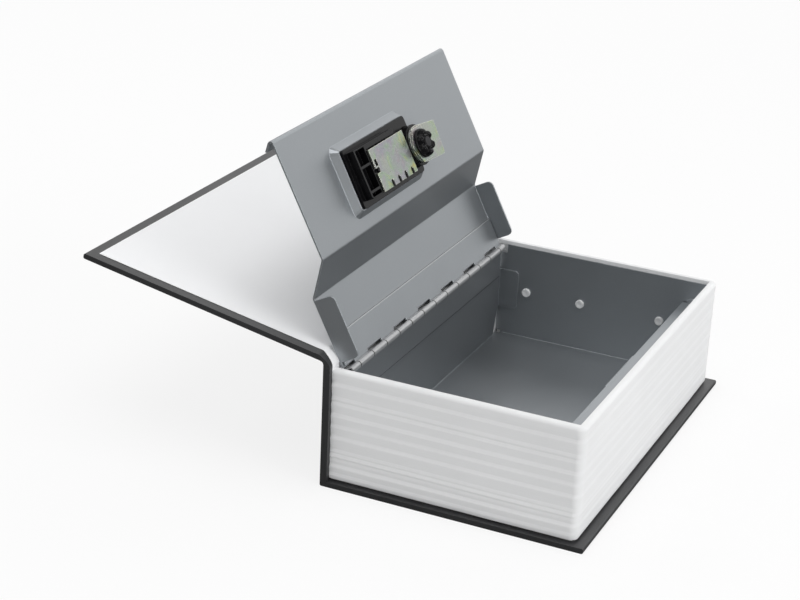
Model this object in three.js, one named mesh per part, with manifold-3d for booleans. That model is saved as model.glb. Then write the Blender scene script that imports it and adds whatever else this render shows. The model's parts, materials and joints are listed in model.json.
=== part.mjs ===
// A hollow book that hides a steel box: cloth-covered boards, a moulded page block, a folded
// steel box, and a hinged steel lid that carries a lock with three number dials and a knob.
// Lengths are millimetres. X runs from the spine to the fore edge, Y from tail to head, Z up.
// The origin is the centre of the back cover's underside, and the book stands open.

import * as THREE from 'three';
import { mergeVertices } from 'three/addons/utils/BufferGeometryUtils.js';
import Module from 'manifold-3d';

const wasm = await Module();
wasm.setup();

// Closed book
const coverHeight = 180;
const coverWidth = 115;
const closedThickness = 55;

// Boards, cloth and paper
const boardThickness = 1.7;
const spineBoardThickness = 2.4;
const clothThickness = 0.25;
const glueLine = 0.05;
const paperThickness = 0.15;
const turnIn = 15;
const clothEdgeRadius = 0.7;
const paperMargin = 4.6;
const boardJointGap = 1.2;
const spineTopDrop = 1.7;

// French joint between spine and front cover
const jointWidth = 3.2;
const jointEndGap = 0.3;
const jointRestRise = 0.6;

// Opening angles in the rest pose, counted from closed
const lidOpenDegrees = 117.8;
const coverOpenDegrees = 169.3;
const jointOpenDegrees = 122.5;

// Moulded page block
const foreOverhang = 4;
const endOverhang = 2;
const coverRestGap = 0.25;
const shellWall = 2.2;
const rimHeight = 5.4;
const rimLip = 0.9;
const rimLipThickness = 1.8;
const rimRadius = 1.1;
const blockCornerRadius = 3.5;
const spineWallDrop = 3.8;
const pageBandHeights = [3.1, 1.6, 4.0, 2.3, 1.3, 4.6, 1.9, 3.4, 1.5, 2.6, 4.3, 2.0, 3.2, 1.4, 4.4];
const pageBandInsets = [0.25, 0.6, 0.1, 0.5, 0.75, 0.05, 0.6, 0.2, 0.7, 0.4, 0.1, 0.65, 0.3, 0.7, 0.35];
const pageBandRounding = 0.35;

// Heat-staked pegs that hold the steel box in the page block
const pegShares = [0.155, 0.407, 0.770];
const pegHeight = 27.9;
const pegShankRadius = 1.5;
const pegHeadRadius = 2.1;
const pegHeadHeight = 1.0;
const pegHoleClearance = 0.2;

// Folded steel box
const steelThickness = 0.8;
const boxFitGap = 0.1;
const floorRaise = 1.9;
const sheetBendRadius = 0.9;
const endWallNotchWidth = 3.6;
const endWallNotchDepth = 4.2;
const endWallCornerCut = 1.6;
const tabWidth = 9.5;
const tabTopHeight = 37.8;
const tabLength = 19;
const tabCornerRadius = 2;
const wallReliefWidth = 2.4;
const wallReliefSlant = 4.6;
const foreTabWidth = 10.2;
const foreTabRise = 2.2;
const reliefRadius = 1.3;
const ledgeWidth = 11.3;
const ledgeEndGap = 1.1;

// Keeper under the ledge, which the cam turns behind
const keeperLength = 36;
const keeperHook = 5.7;
const keeperFoot = 6;
const keeperThickness = 0.8;
const keeperCamGap = 0.35;

// Piano hinge
const knuckleRadius = 1.5;
const hingePinRadius = 0.75;
const pinClearance = 0.12;
const leafThickness = 0.7;
const leafWidth = 15;
const leafGap = 0.1;
const hingeEndGap = 0.4;
const knucklePitch = 12.4;
const firstKnuckleLength = 7.35;
const knuckleGap = 0.25;
const knuckleRelief = 0.3;
const leafSlotDepth = 2.7;

// Pressed steel lid
const lidThickness = 0.7;
const lidSideGap = 2.85;
const lidStart = 2.3;
const hingeSection = 32.7;
const stepRun = 13.8;
const lidReach = 99;
const lidDrop = 11.2;
const lidSeatGap = 0.3;
const lidBendRadius = 1.3;
const lipLength = 6.6;
const lipDegrees = 43;
const lipBendRadius = 1;
const flapDepth = 9;
const flapStart = 4.6;
const flapEndInset = 0.9;
const flapCornerRadius = 2.4;

// Pocket pressed into the lid for the lock
const lockReach = 66.9;
const lockOffset = 11;
const pocketDepth = 3;
const pocketBevel = 2.7;
const pocketTailReach = 55.3;
const pocketHeadReach = 5.3;
const pocketRise = 14.3;
const pocketFall = 12.3;
const pocketCornerRadius = 1.2;
const sheetCutClearance = 0.3;

// Lock body, behind the lid
const bodyHalfWidth = 9.4;
const bodyTailReach = 52.3;
const bodyDepth = 7.8;
const bodyTopDrop = 0.3;
const flangeThickness = 1.3;
const flangeMargin = 0.3;
const flangeHeadInset = 1.5;
const railGap = 0.5;
const railReach = 12;
const railHeadInset = 6;
const bodyCornerRadius = 1.6;
const seatGap = 0.1;
const dividerThickness = 1;
const dividerTipLength = 2.2;
const dividerTipRise = 1.1;
const endBoxLength = 10.2;
const endRecessDepth = 3.2;
const endWallThickness = 1.1;
const endRibShares = [0.13, 0.63];
const guidePegRadius = 0.8;
const guidePegShare = 0.19;

// Dials
const dialCount = 3;
const dialPitch = 6.43;
const dialWidth = 3.9;
const dialRadius = 6.2;
const dialGripDepth = 0.45;
const dialLandShare = 0.62;
const dialGripShare = 0.25;
const dialDigits = 10;
const dialBoreRadius = 2.5;
const dialRowReach = 32.8;
const dialAxisDrop = 1.2;
const sleeveWidth = 5;
const sleeveRadius = 2.4;
const sleeveFlangeRadius = 3.2;
const sleeveGateDepth = 0.6;
const sleeveGateWidth = 1.4;
const dialSideGap = 0.2;
const dialBayGap = 0.5;
const axleRadius = 1.2;
const axleClearance = 0.12;

// Detent spring beside the dials
const springThickness = 0.25;
const springHeight = 6;
const springBendRadius = 6;
const springBow = 0.35;
const springClearance = 0.25;

// Plated cover plate of the lock
const plateThickness = 0.6;
const plateSlotWidth = 1.5;
const plateSlotDepth = 3;
const plateHoleInset = 1.1;
const plateHoleLength = 2.2;
const plateHoleWidth = 3;
const plateNotchLength = 3.2;
const plateNotchWidth = 2.2;
const plateNotchDrop = 0.1;
const plateHoleRise = 1.7;

// Bezel on the lid's outer side
const bezelHeight = 4;
const bezelWall = 1.5;
const bezelMargin = 1.9;
const bezelBarrelGap = 0.4;
const bezelEdge = 1;
const dialWindowLength = 10.6;
const dialWindowGap = 0.25;

// Knob, spindle and cam
const barrelRadius = 9.25;
const barrelDepth = 8.2;
const barrelBoreRadius = 4;
const spindleRadius = 3.7;
const spindleSquare = 5;
const spindleTipRadius = 2.3;
const spindleTipLength = 3.1;
const spindleGap = 0.2;
const knobRadius = 8.5;
const knobBaseHeight = 2;
const knobGripWidth = 4.6;
const knobGripHeight = 3.8;
const knobGripTaper = 0.7;
const knobStemRadius = 3.4;
const knobStemGap = 0.4;
const camThickness = 1.1;
const camReach = 18.2;
const camLeanDegrees = 5;
const camHubRadius = 8.2;
const camTipHalfWidth = 7.7;
const camTipRadius = 0.8;
const washerFlats = 15;
const washerThickness = 0.7;
const nutRadius = 6.4;
const nutLobeDepth = 1.1;
const nutBaseHeight = 1;
const nutHeight = 3.4;
const nutEdgeRounding = 0.3;
const nutLobes = 6;

// Cuts run past the faces they open by this much, and vertices closer than the weld are one
const overrun = 1;
const weld = 0.0001;

// Steps of round forms
const arcSteps = 3;
const roundSteps = 24;
const smallRoundSteps = 12;
const lobeSteps = 4;

// Planes of the closed book, worked out from the sizes above
const coverThickness = boardThickness + 2 * (clothThickness + glueLine) + glueLine + paperThickness;
const spineThickness = spineBoardThickness + 2 * (clothThickness + glueLine);
const halfHeight = coverHeight / 2;
const spineOuterX = -coverWidth / 2;
const spineInnerX = spineOuterX + spineThickness;
const foreEdgeX = coverWidth / 2;
const backCoverTop = coverThickness - paperThickness - glueLine;
const coverInnerZ = closedThickness - coverThickness;
const rimZ = coverInnerZ - coverRestGap;
const spineTopZ = closedThickness - spineTopDrop;
const blockBackX = spineInnerX + glueLine;
const blockFrontX = foreEdgeX - foreOverhang;
const blockWidth = blockFrontX - blockBackX;
const blockHalfLength = halfHeight - endOverhang;
const shellInnerBackX = blockBackX + shellWall;
const shellInnerFrontX = blockFrontX - shellWall;
const shellInnerHalf = blockHalfLength - shellWall;
const boxBackX = shellInnerBackX + boxFitGap;
const boxFrontX = shellInnerFrontX - boxFitGap;
const boxHalfLength = shellInnerHalf - boxFitGap;
const boxInnerHalf = boxHalfLength - steelThickness;
const boxFloorZ = backCoverTop + floorRaise;
const boxTopZ = rimZ - rimLipThickness - boxFitGap;
const hingeX = boxBackX + steelThickness + leafGap + knuckleRadius;
const hingeZ = rimZ - lidThickness - leafGap - knuckleRadius;
const spineWallTopZ = hingeZ - knuckleRadius - knuckleRelief;

// Heights in the lid's own frame, counted from the hinge axis with the lid closed
const lidUnder = knuckleRadius + leafGap;
const panelUnder = lidUnder - lidDrop;
const panelTop = panelUnder + lidThickness;
const pocketUnder = panelUnder - pocketDepth;
const lidHalfLength = boxInnerHalf - lidSideGap;
const hingeHalfLength = lidHalfLength - lidThickness - hingeEndGap;
const ledgeTopZ = hingeZ + panelUnder - lidSeatGap;
const bezelTop = panelTop + bezelHeight;
const bodyTop = bezelTop - bezelWall - bodyTopDrop;
const bodyUnder = panelUnder - bodyDepth;
const barrelEnd = panelUnder - barrelDepth;
const camTop = barrelEnd - spindleGap;
const washerTop = camTop - camThickness - seatGap;
const nutTop = washerTop - washerThickness - seatGap;
const dialAxisHeight = bezelTop - dialRadius + dialAxisDrop;
const dialRowStart = lockOffset - dialRowReach;
const lockSpan = { u: lockReach, v: lockOffset };

// Colours and finishes
const material = (color, roughness, metalness) =>
  new THREE.MeshStandardMaterial({ color, roughness, metalness });
const clothFinish = () => material(0x3a3b3d, 0.85, 0);
const boardFinish = () => material(0x8f8574, 0.95, 0);
const paperFinish = () => material(0xececee, 0.8, 0);
const shellFinish = () => material(0xe4e5e6, 0.45, 0);
const paintedSteel = () => material(0x8b8f93, 0.42, 0.35);
const hingeSteel = () => material(0xa6a9ac, 0.32, 0.7);
const blackPlastic = () => material(0x17181a, 0.4, 0);
const zincPlate = () => material(0xc3cba4, 0.3, 0.85);
const brightSteel = () => material(0xb9bcc0, 0.25, 0.9);
const dialPlastic = () => material(0x222326, 0.45, 0);

// Closed mesh with welded corners, as a solid that can be joined and cut
function solid(geometry) {
  const bare = geometry.clone();
  bare.deleteAttribute('normal');
  bare.deleteAttribute('uv');
  const merged = mergeVertices(bare, weld);
  const corners = merged.index.array;
  const kept = [];
  for (let i = 0; i < corners.length; i += 3) {
    const [a, b, c] = corners.slice(i, i + 3);
    if (a !== b && b !== c && c !== a) kept.push(a, b, c);
  }
  return new wasm.Manifold(new wasm.Mesh({
    numProp: 3,
    vertProperties: merged.attributes.position.array,
    triVerts: Uint32Array.from(kept),
  }));
}

// Geometry of a finished solid
function geometryOf(body) {
  const mesh = body.getMesh();
  const geometry = new THREE.BufferGeometry();
  geometry.setAttribute('position', new THREE.BufferAttribute(mesh.vertProperties, 3));
  geometry.setIndex(new THREE.BufferAttribute(mesh.triVerts, 1));
  geometry.computeVertexNormals();
  return geometry;
}

const join = (first, ...others) => others.reduce((whole, next) => whole.add(next), first);
const cut = (first, ...tools) => tools.reduce((rest, tool) => rest.subtract(tool), first);

// Block between two corners
function block([x0, y0, z0], [x1, y1, z1]) {
  const geometry = new THREE.BoxGeometry(x1 - x0, y1 - y0, z1 - z0);
  geometry.translate((x0 + x1) / 2, (y0 + y1) / 2, (z0 + z1) / 2);
  return solid(geometry);
}

// Points of a path through corners [x, y, radius], each rounded by an arc of its radius
function roundedPath(corners, closed) {
  const count = corners.length;
  return corners.flatMap(([x, y, radius], i) => {
    const here = new THREE.Vector2(x, y);
    const isEnd = !closed && (i === 0 || i === count - 1);
    if (isEnd || !radius) return [here];
    const before = new THREE.Vector2(...corners[(i + count - 1) % count]).sub(here).normalize();
    const after = new THREE.Vector2(...corners[(i + 1) % count]).sub(here).normalize();
    const half = Math.acos(before.dot(after)) / 2;
    const centre = before.clone().add(after).setLength(radius / Math.sin(half)).add(here);
    const start = before.clone().multiplyScalar(radius / Math.tan(half)).add(here).sub(centre);
    const turn = Math.sign(after.cross(before)) * (Math.PI - 2 * half);
    return Array.from({ length: arcSteps + 1 }, (_, k) =>
      start.clone().rotateAround(new THREE.Vector2(), turn * k / arcSteps).add(centre));
  });
}

const outline = (corners) => new THREE.Shape(roundedPath(corners, true));

// Rectangle with round corners
function rectangle([x0, y0], [x1, y1], radius) {
  return outline([[x0, y0, radius], [x1, y0, radius], [x1, y1, radius], [x0, y1, radius]]);
}

// Section of a sheet that follows a bent centre line
function sheetSection(corners, thickness) {
  const path = roundedPath(corners, false);
  const sides = [1, -1].map((side) => path.map((point, i) => {
    const ahead = path[Math.min(i + 1, path.length - 1)];
    const behind = path[Math.max(i - 1, 0)];
    const along = ahead.clone().sub(behind).normalize();
    const normal = new THREE.Vector2(-along.y, along.x).multiplyScalar(side * thickness / 2);
    return point.clone().add(normal);
  }));
  return new THREE.Shape([...sides[0], ...sides[1].reverse()]);
}

// An outline in X and Y drawn out along Z
function standing(shape, z0, z1) {
  const geometry = new THREE.ExtrudeGeometry(shape, { depth: z1 - z0, bevelEnabled: false });
  geometry.translate(0, 0, z0);
  return solid(geometry);
}

// An outline in X and Z drawn out along Y
function lying(shape, y0, y1) {
  const geometry = new THREE.ExtrudeGeometry(shape, { depth: y1 - y0, bevelEnabled: false });
  geometry.rotateX(Math.PI / 2);
  geometry.translate(0, y1, 0);
  return solid(geometry);
}

// An outline in Y and Z drawn out along X
function facing(shape, x0, x1) {
  const geometry = new THREE.ExtrudeGeometry(shape, { depth: x1 - x0, bevelEnabled: false });
  geometry.rotateX(Math.PI / 2);
  geometry.rotateZ(Math.PI / 2);
  geometry.translate(x0, 0, 0);
  return solid(geometry);
}

// Upright outline whose upper and lower edges are rounded
function rounded(shape, z0, z1, rounding, steps) {
  const geometry = new THREE.ExtrudeGeometry(shape, {
    depth: z1 - z0 - 2 * rounding,
    bevelThickness: rounding,
    bevelSize: rounding,
    bevelOffset: -rounding,
    bevelSegments: steps,
  });
  geometry.translate(0, 0, z0 + rounding);
  return solid(geometry);
}

// Round rod along Z
function post(x, y, z0, z1, radius, steps = roundSteps) {
  const geometry = new THREE.CylinderGeometry(radius, radius, z1 - z0, steps);
  geometry.rotateX(Math.PI / 2);
  geometry.translate(x, y, (z0 + z1) / 2);
  return solid(geometry);
}

// Round rod along Y
function rod(x, z, y0, y1, radius, steps = roundSteps) {
  const geometry = new THREE.CylinderGeometry(radius, radius, y1 - y0, steps);
  geometry.translate(x, (y0 + y1) / 2, z);
  return solid(geometry);
}

// Cover boards and the cloth that wraps the back board and the spine
function backBoard() {
  const skin = clothThickness + glueLine;
  return block(
    [spineInnerX + boardJointGap, -halfHeight + skin, skin],
    [foreEdgeX - skin, halfHeight - skin, skin + boardThickness],
  );
}

function spineBoard() {
  const skin = clothThickness + glueLine;
  return block(
    [spineOuterX + skin, -halfHeight + skin, skin],
    [spineInnerX - skin, halfHeight - skin, spineTopZ - skin],
  );
}

function caseCloth() {
  const r = clothEdgeRadius;
  const wrap = outline([
    [spineOuterX, 0, r], [foreEdgeX, 0, r], [foreEdgeX, backCoverTop, r],
    [spineInnerX, backCoverTop, 0], [spineInnerX, spineTopZ, 0], [spineOuterX, spineTopZ, 0],
  ]);
  const t = clothThickness;
  const endY = halfHeight - t;
  const windowY = halfHeight - turnIn;
  return cut(
    lying(wrap, -halfHeight, halfHeight),
    block([spineOuterX + t, -endY, t], [foreEdgeX - t, endY, backCoverTop - t]),
    block([spineOuterX + t, -endY, t], [spineInnerX - t, endY, spineTopZ + overrun]),
    block([spineInnerX, -windowY, t], [foreEdgeX - turnIn, windowY, backCoverTop + overrun]),
    block([spineInnerX - t - overrun, -windowY, backCoverTop],
      [spineInnerX + overrun, windowY, spineTopZ + overrun]),
  );
}

// Paper strip on the spine's inner face, above the page block's spine wall
function spineLining() {
  const left = spineInnerX + glueLine;
  return block(
    [left, -shellInnerHalf, rimZ - spineWallDrop + glueLine],
    [left + paperThickness, shellInnerHalf, spineTopZ],
  );
}

// Page block: rounded bands of unequal height and depth stand for gathered pages
function pageBand(z0, z1, inset, rounding, steps) {
  const r = blockCornerRadius;
  const front = blockFrontX - inset;
  const end = blockHalfLength - inset;
  const behind = blockBackX - overrun;
  const shape = outline([[behind, -end, 0], [front, -end, r], [front, end, r], [behind, end, 0]]);
  return rounded(shape, z0, z1, rounding, steps);
}

function pageBands() {
  const bandsTotal = pageBandHeights.reduce((sum, height) => sum + height, 0);
  const scale = (rimZ - rimHeight - backCoverTop) / bandsTotal;
  const bands = [];
  let z = backCoverTop;
  pageBandHeights.forEach((height, i) => {
    const top = z + height * scale;
    const bottom = z - (i > 0 ? pageBandRounding : 0);
    bands.push(pageBand(bottom, top, pageBandInsets[i], pageBandRounding, 1));
    z = top;
  });
  bands.push(pageBand(z - rimRadius, rimZ, 0, rimRadius, arcSteps));
  return join(...bands);
}

function pageShell() {
  const lipBackX = shellInnerBackX + rimLip;
  const lipFrontX = shellInnerFrontX - rimLip;
  const lipHalf = shellInnerHalf - rimLip;
  const under = backCoverTop - overrun;
  const top = rimZ + overrun;
  const lowSpineZ = rimZ - spineWallDrop;
  const hollow = cut(
    pageBands(),
    block([shellInnerBackX, -shellInnerHalf, under],
      [shellInnerFrontX, shellInnerHalf, rimZ - rimLipThickness]),
    block([lipBackX, -lipHalf, under], [lipFrontX, lipHalf, top]),
    block([blockBackX - overrun, -shellInnerHalf, lowSpineZ],
      [lipBackX + overrun, shellInnerHalf, top]),
    block([blockBackX - 2 * overrun, -halfHeight, under], [blockBackX, halfHeight, top]),
  );
  return join(hollow, ...pegs());
}

// Pegs of the page block, with heads inside the steel box
function pegs() {
  return pegShares.flatMap((share) => [-1, 1].map((side) => {
    const x = blockBackX + share * blockWidth;
    const root = -boxFitGap - steelThickness - overrun;
    const profile = [
      [0, root], [pegShankRadius, root], [pegShankRadius, 0], [pegHeadRadius, 0],
      [pegHeadRadius, pegHeadHeight / 2],
      [pegHeadRadius * Math.SQRT1_2, pegHeadHeight], [0, pegHeadHeight],
    ].map(([r, y]) => new THREE.Vector2(r, y));
    const geometry = new THREE.LatheGeometry(profile, smallRoundSteps);
    if (side > 0) geometry.rotateX(Math.PI);
    geometry.translate(x, side * boxInnerHalf, pegHeight);
    return solid(geometry);
  }));
}

// Steel box: floor, two long walls and the ledge are one bent section
function boxSection() {
  const h = steelThickness / 2;
  const r = sheetBendRadius;
  const left = boxBackX + h;
  const right = boxFrontX - h;
  const floor = boxFloorZ + h;
  const walls = sheetSection([
    [left, spineWallTopZ], [left, floor, r], [right, floor, r], [right, ledgeTopZ - h],
  ], steelThickness);
  const half = boxInnerHalf - boxFitGap - steelThickness;
  return lying(walls, -half, half);
}

function ledge() {
  const r = sheetBendRadius;
  const right = boxFrontX;
  const section = outline([
    [right, ledgeTopZ - r - steelThickness, 0], [right, ledgeTopZ, r],
    [right - ledgeWidth - steelThickness, ledgeTopZ, 0],
    [right - ledgeWidth - steelThickness, ledgeTopZ - steelThickness, 0],
    [right - steelThickness, ledgeTopZ - steelThickness, 0],
    [right - steelThickness, ledgeTopZ - r - steelThickness, 0],
  ]);
  return lying(section, -boxInnerHalf + ledgeEndGap, boxInnerHalf - ledgeEndGap);
}

// End walls stand up from the floor; the long walls' tabs lie against them
function endWall(side) {
  const notch = boxBackX + endWallNotchWidth;
  const c = endWallCornerCut;
  const floor = boxFloorZ;
  const low = boxTopZ - endWallNotchDepth;
  const wall = outline([
    [boxBackX, floor, 0], [boxFrontX, floor, 0], [boxFrontX, boxTopZ - c, 0],
    [boxFrontX - c, boxTopZ, 0], [notch, boxTopZ, 0], [notch, low, 0], [boxBackX, low, 0],
  ]);
  const inner = side * boxInnerHalf;
  const outer = side * boxHalfLength;
  const holes = pegShares.map((share) => rod(
    blockBackX + share * blockWidth, pegHeight, -boxHalfLength - overrun, boxHalfLength + overrun,
    pegShankRadius + pegHoleClearance, smallRoundSteps,
  ));
  return cut(lying(wall, Math.min(inner, outer), Math.max(inner, outer)), ...holes);
}

function cornerTab(x0, x1, top, bottom, side) {
  const r = tabCornerRadius;
  const corners = [[x0, bottom, 0], [x1, bottom, r], [x1, top, r], [x0, top, 0]];
  const near = side * (boxInnerHalf - boxFitGap);
  const far = near - side * steelThickness;
  return lying(outline(corners), Math.min(near, far), Math.max(near, far));
}

function steelBox() {
  const ends = boxInnerHalf - boxFitGap;
  const tabLow = tabTopHeight - tabLength;
  const floorLap = block(
    [boxBackX + sheetBendRadius, -boxHalfLength, boxFloorZ],
    [boxFrontX - sheetBendRadius, boxHalfLength, boxFloorZ + steelThickness],
  );
  const tabs = [-1, 1].flatMap((side) => [
    cornerTab(boxBackX, boxBackX + steelThickness + tabWidth, tabTopHeight, tabLow, side),
    cornerTab(boxFrontX, boxFrontX - foreTabWidth, ledgeTopZ + foreTabRise, tabLow, side),
  ]);
  const under = boxFloorZ - overrun;
  const over = boxFloorZ + steelThickness + overrun;
  const reliefX = [boxBackX + reliefRadius, boxFrontX - reliefRadius];
  const reliefs = [-1, 1].flatMap((side) => reliefX.map((x) =>
    post(x, side * ends, under, over, reliefRadius, smallRoundSteps)));
  const walls = cut(boxSection(), ...wallReliefs(-1), ...wallReliefs(1));
  return cut(join(walls, ledge(), floorLap, endWall(-1), endWall(1), ...tabs), ...reliefs);
}

// Reliefs at each end of the spine wall: a step above the tab and a slant below it
function wallReliefs(side) {
  const end = side * (boxInnerHalf - boxFitGap - steelThickness);
  const beyond = end + side * overrun;
  const low = tabTopHeight - tabLength;
  const x0 = boxBackX - overrun;
  const x1 = boxBackX + steelThickness + overrun;
  const step = block(
    [x0, Math.min(beyond, end - side * wallReliefWidth), tabTopHeight],
    [x1, Math.max(beyond, end - side * wallReliefWidth), boxTopZ],
  );
  const floor = boxFloorZ + steelThickness;
  const slant = facing(outline([
    [beyond, low, 0], [end, low, 0], [end - side * wallReliefSlant, floor, 0], [beyond, floor, 0],
  ]), x0, x1);
  return [step, slant];
}

// Keeper: bracket under the ledge with a hook that points back to the lock
function keeper() {
  const t = keeperThickness;
  const webX = boxFrontX - steelThickness - ledgeWidth + t;
  const top = ledgeTopZ - steelThickness - seatGap;
  const hookZ = hingeZ + camTop + keeperCamGap;
  const r = sheetBendRadius;
  const section = sheetSection([
    [webX + keeperFoot, top - t / 2], [webX, top - t / 2, r], [webX, hookZ + t / 2, r],
    [webX - keeperHook, hookZ + t / 2],
  ], t);
  return lying(section, lockOffset - keeperLength / 2, lockOffset + keeperLength / 2);
}

// Hinge barrel: spans of the knuckles, alternately the box's (even) and the lid's (odd)
function knuckleSpans(parity) {
  const start = -hingeHalfLength;
  const end = hingeHalfLength;
  const joints = [start];
  for (let y = start + firstKnuckleLength; y < end - knuckleGap; y += knucklePitch) joints.push(y);
  joints.push(end);
  return joints.slice(0, -1)
    .map((y, i) => [y + knuckleGap / 2, joints[i + 1] - knuckleGap / 2])
    .filter((_, i) => i % 2 === parity);
}

// Leaf lying along +X from the hinge axis, flush with one side of its knuckles
function hingeLeaf(parity, side) {
  const r = knuckleRadius;
  const under = side > 0 ? r - leafThickness : -r;
  const over = under + leafThickness;
  const plate = standing(
    rectangle([r + knuckleRelief, -hingeHalfLength], [leafWidth, hingeHalfLength], 0), under, over,
  );
  const slots = knuckleSpans(1 - parity).map(([y0, y1]) =>
    block([0, y0 - knuckleGap, under - overrun], [leafSlotDepth, y1 + knuckleGap, over + overrun]));
  const knuckles = knuckleSpans(parity).map(([y0, y1]) => cut(
    join(
      rod(0, 0, y0, y1, r, smallRoundSteps),
      block([0, y0, under], [r + 2 * knuckleRelief, y1, over]),
    ),
    rod(0, 0, y0 - overrun, y1 + overrun, hingePinRadius + pinClearance, smallRoundSteps),
  ));
  return join(cut(plate, ...slots), ...knuckles);
}

function hingePin() {
  return rod(0, 0, -hingeHalfLength, hingeHalfLength, hingePinRadius, smallRoundSteps);
}

// Lid: hinge section, step, panel and return lip are one bent section
function lidSheet() {
  const h = lidThickness / 2;
  const r = lidBendRadius;
  const lip = THREE.MathUtils.degToRad(lipDegrees);
  const section = sheetSection([
    [lidStart, lidUnder + h], [hingeSection, lidUnder + h, r],
    [hingeSection + stepRun, panelUnder + h, r],
    [lidReach, panelUnder + h, lipBendRadius],
    [lidReach - lipLength * Math.cos(lip), panelUnder + h + lipLength * Math.sin(lip)],
  ], lidThickness);
  return lying(section, -lidHalfLength, lidHalfLength);
}

function lidFlap(side) {
  const r = flapCornerRadius;
  const low = lidUnder - flapDepth;
  const end = hingeSection - flapEndInset;
  const shape = outline([
    [flapStart, lidUnder + lidThickness / 2, 0], [flapStart, low, r], [end, low, r],
    [end, lidUnder + lidThickness / 2, 0],
  ]);
  const outer = side * lidHalfLength;
  const inner = outer - side * lidThickness;
  return lying(shape, Math.min(inner, outer), Math.max(inner, outer));
}

// Outline of the pocket at its floor
function pocketOutline() {
  const { u, v } = lockSpan;
  return rectangle(
    [u - pocketFall, v - pocketTailReach], [u + pocketRise, v + pocketHeadReach], pocketCornerRadius,
  );
}

// Slanted pocket block whose small face is at the floor height
function pocketForm(floor) {
  const geometry = new THREE.ExtrudeGeometry(pocketOutline(), {
    depth: pocketDepth,
    bevelThickness: pocketDepth,
    bevelSize: pocketBevel,
    bevelSegments: 1,
  });
  geometry.translate(0, 0, floor + pocketDepth);
  return solid(geometry);
}

function lidPanel() {
  const { u, v } = lockSpan;
  const reach = 2 * (pocketTailReach + pocketHeadReach);
  const belowPanel = block(
    [-reach, -reach, pocketUnder - overrun], [2 * reach, reach, panelUnder + lidThickness / 2],
  );
  const gap = sheetCutClearance;
  const window = block(
    [u - bodyHalfWidth - gap, v - bodyTailReach - gap, pocketUnder - overrun],
    [u + bodyHalfWidth + gap, v - barrelRadius, panelTop + overrun],
  );
  const barrelHole = post(u, v, pocketUnder - overrun, panelTop + overrun, barrelRadius + gap);
  return cut(
    join(lidSheet(), lidFlap(-1), lidFlap(1), pocketForm(pocketUnder).intersect(belowPanel)),
    pocketForm(pocketUnder + lidThickness),
    window,
    barrelHole,
  );
}

// Positions along the dial row
const dividerY = (i) => dialRowStart + i * dialPitch;
const dialY = (i) => dividerY(i) + dividerThickness / 2 + dialSideGap;

// Lock body: block with dial bays, dividing ribs, end recesses, flange and rail
function lockBody() {
  const { u, v } = lockSpan;
  const tail = v - bodyTailReach;
  const head = v - barrelRadius - spindleGap;
  const main = standing(
    rectangle([u - bodyHalfWidth, tail], [u + bodyHalfWidth, head], bodyCornerRadius),
    bodyUnder, bodyTop,
  );
  const flangeTop = pocketUnder - seatGap;
  const m = flangeMargin;
  const flange = standing(rectangle(
    [u - pocketFall + m, v - pocketTailReach + m],
    [u + pocketRise - m, v + pocketHeadReach - flangeHeadInset],
    bodyCornerRadius,
  ), flangeTop - flangeThickness, flangeTop);
  const inFlange = flangeTop - flangeThickness / 2;
  const rail = block(
    [u + bodyHalfWidth + railGap, tail, bodyUnder], [u + railReach, head - railHeadInset, inFlange],
  );
  const endBox = standing(
    rectangle([u - bodyHalfWidth, tail], [u + railReach, tail + endBoxLength], bodyCornerRadius),
    bodyUnder, inFlange,
  );
  const barrelHole = post(
    u, v, bodyUnder - overrun, bodyTop + overrun, barrelRadius + spindleGap,
  );
  const axleBore = rod(
    u, dialAxisHeight, dividerY(0) - dividerThickness, dividerY(dialCount) + dividerThickness,
    axleRadius + axleClearance, smallRoundSteps,
  );
  const moulded = cut(join(main, flange, rail, endBox), ...dialBays(), ...endRecesses(), barrelHole);
  return cut(join(moulded, ...dividerTips(), guidePeg()), axleBore, springSlot());
}

function dialBays() {
  const { u } = lockSpan;
  const half = dialRadius + dialBayGap;
  return Array.from({ length: dialCount }, (_, i) => block(
    [u - half, dividerY(i) + dividerThickness / 2, bodyUnder - overrun],
    [u + half, dividerY(i + 1) - dividerThickness / 2, bodyTop + overrun],
  ));
}

// Recesses at the tail end, with ribs left between them at the shares of its width
function endRecesses() {
  const { u, v } = lockSpan;
  const wall = endWallThickness;
  const low = u - bodyHalfWidth;
  const width = railReach + bodyHalfWidth;
  const tail = v - bodyTailReach;
  const edges = [0, ...endRibShares, 1].map((share) => low + share * width);
  return edges.slice(1).map((edge, i) => block(
    [edges[i] + wall / 2, tail + wall, bodyUnder - overrun],
    [edge - wall / 2, tail + endBoxLength - wall, bodyUnder + endRecessDepth],
  ));
}

// Tips of the dividing ribs, which show in the plate's slots
function dividerTips() {
  const x = lockSpan.u - bodyHalfWidth;
  return Array.from({ length: dialCount + 1 }, (_, i) => block(
    [x + seatGap, dividerY(i) - dividerThickness / 2, bodyUnder - dividerTipRise],
    [x + seatGap + dividerTipLength, dividerY(i) + dividerThickness / 2, bodyUnder + seatGap],
  ));
}

// The guide peg stands between the end box and the first bay, and the plate's notch lies round it
function guidePegPlace() {
  const boxEnd = lockOffset - bodyTailReach + endBoxLength;
  const bayEnd = dividerY(0) + dividerThickness / 2;
  return { x: lockSpan.u - plateNotchDrop, y: boxEnd + guidePegShare * (bayEnd - boxEnd) };
}

function guidePeg() {
  const { x, y } = guidePegPlace();
  return post(x, y, bodyUnder - dividerTipRise, bodyUnder + seatGap, guidePegRadius, smallRoundSteps);
}

// The spring lies beside the bays, on the side of the lid's free end
const springTail = () => dividerY(0) - dividerThickness;
const springHead = () => dividerY(dialCount) + dividerThickness;

function springSlot() {
  const x = lockSpan.u + dialRadius + dialBayGap;
  const half = springHeight / 2 + springClearance;
  return block(
    [x - overrun, springTail(), dialAxisHeight - half],
    [x + springThickness + springBow + springClearance, springHead(), dialAxisHeight + half],
  );
}

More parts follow.
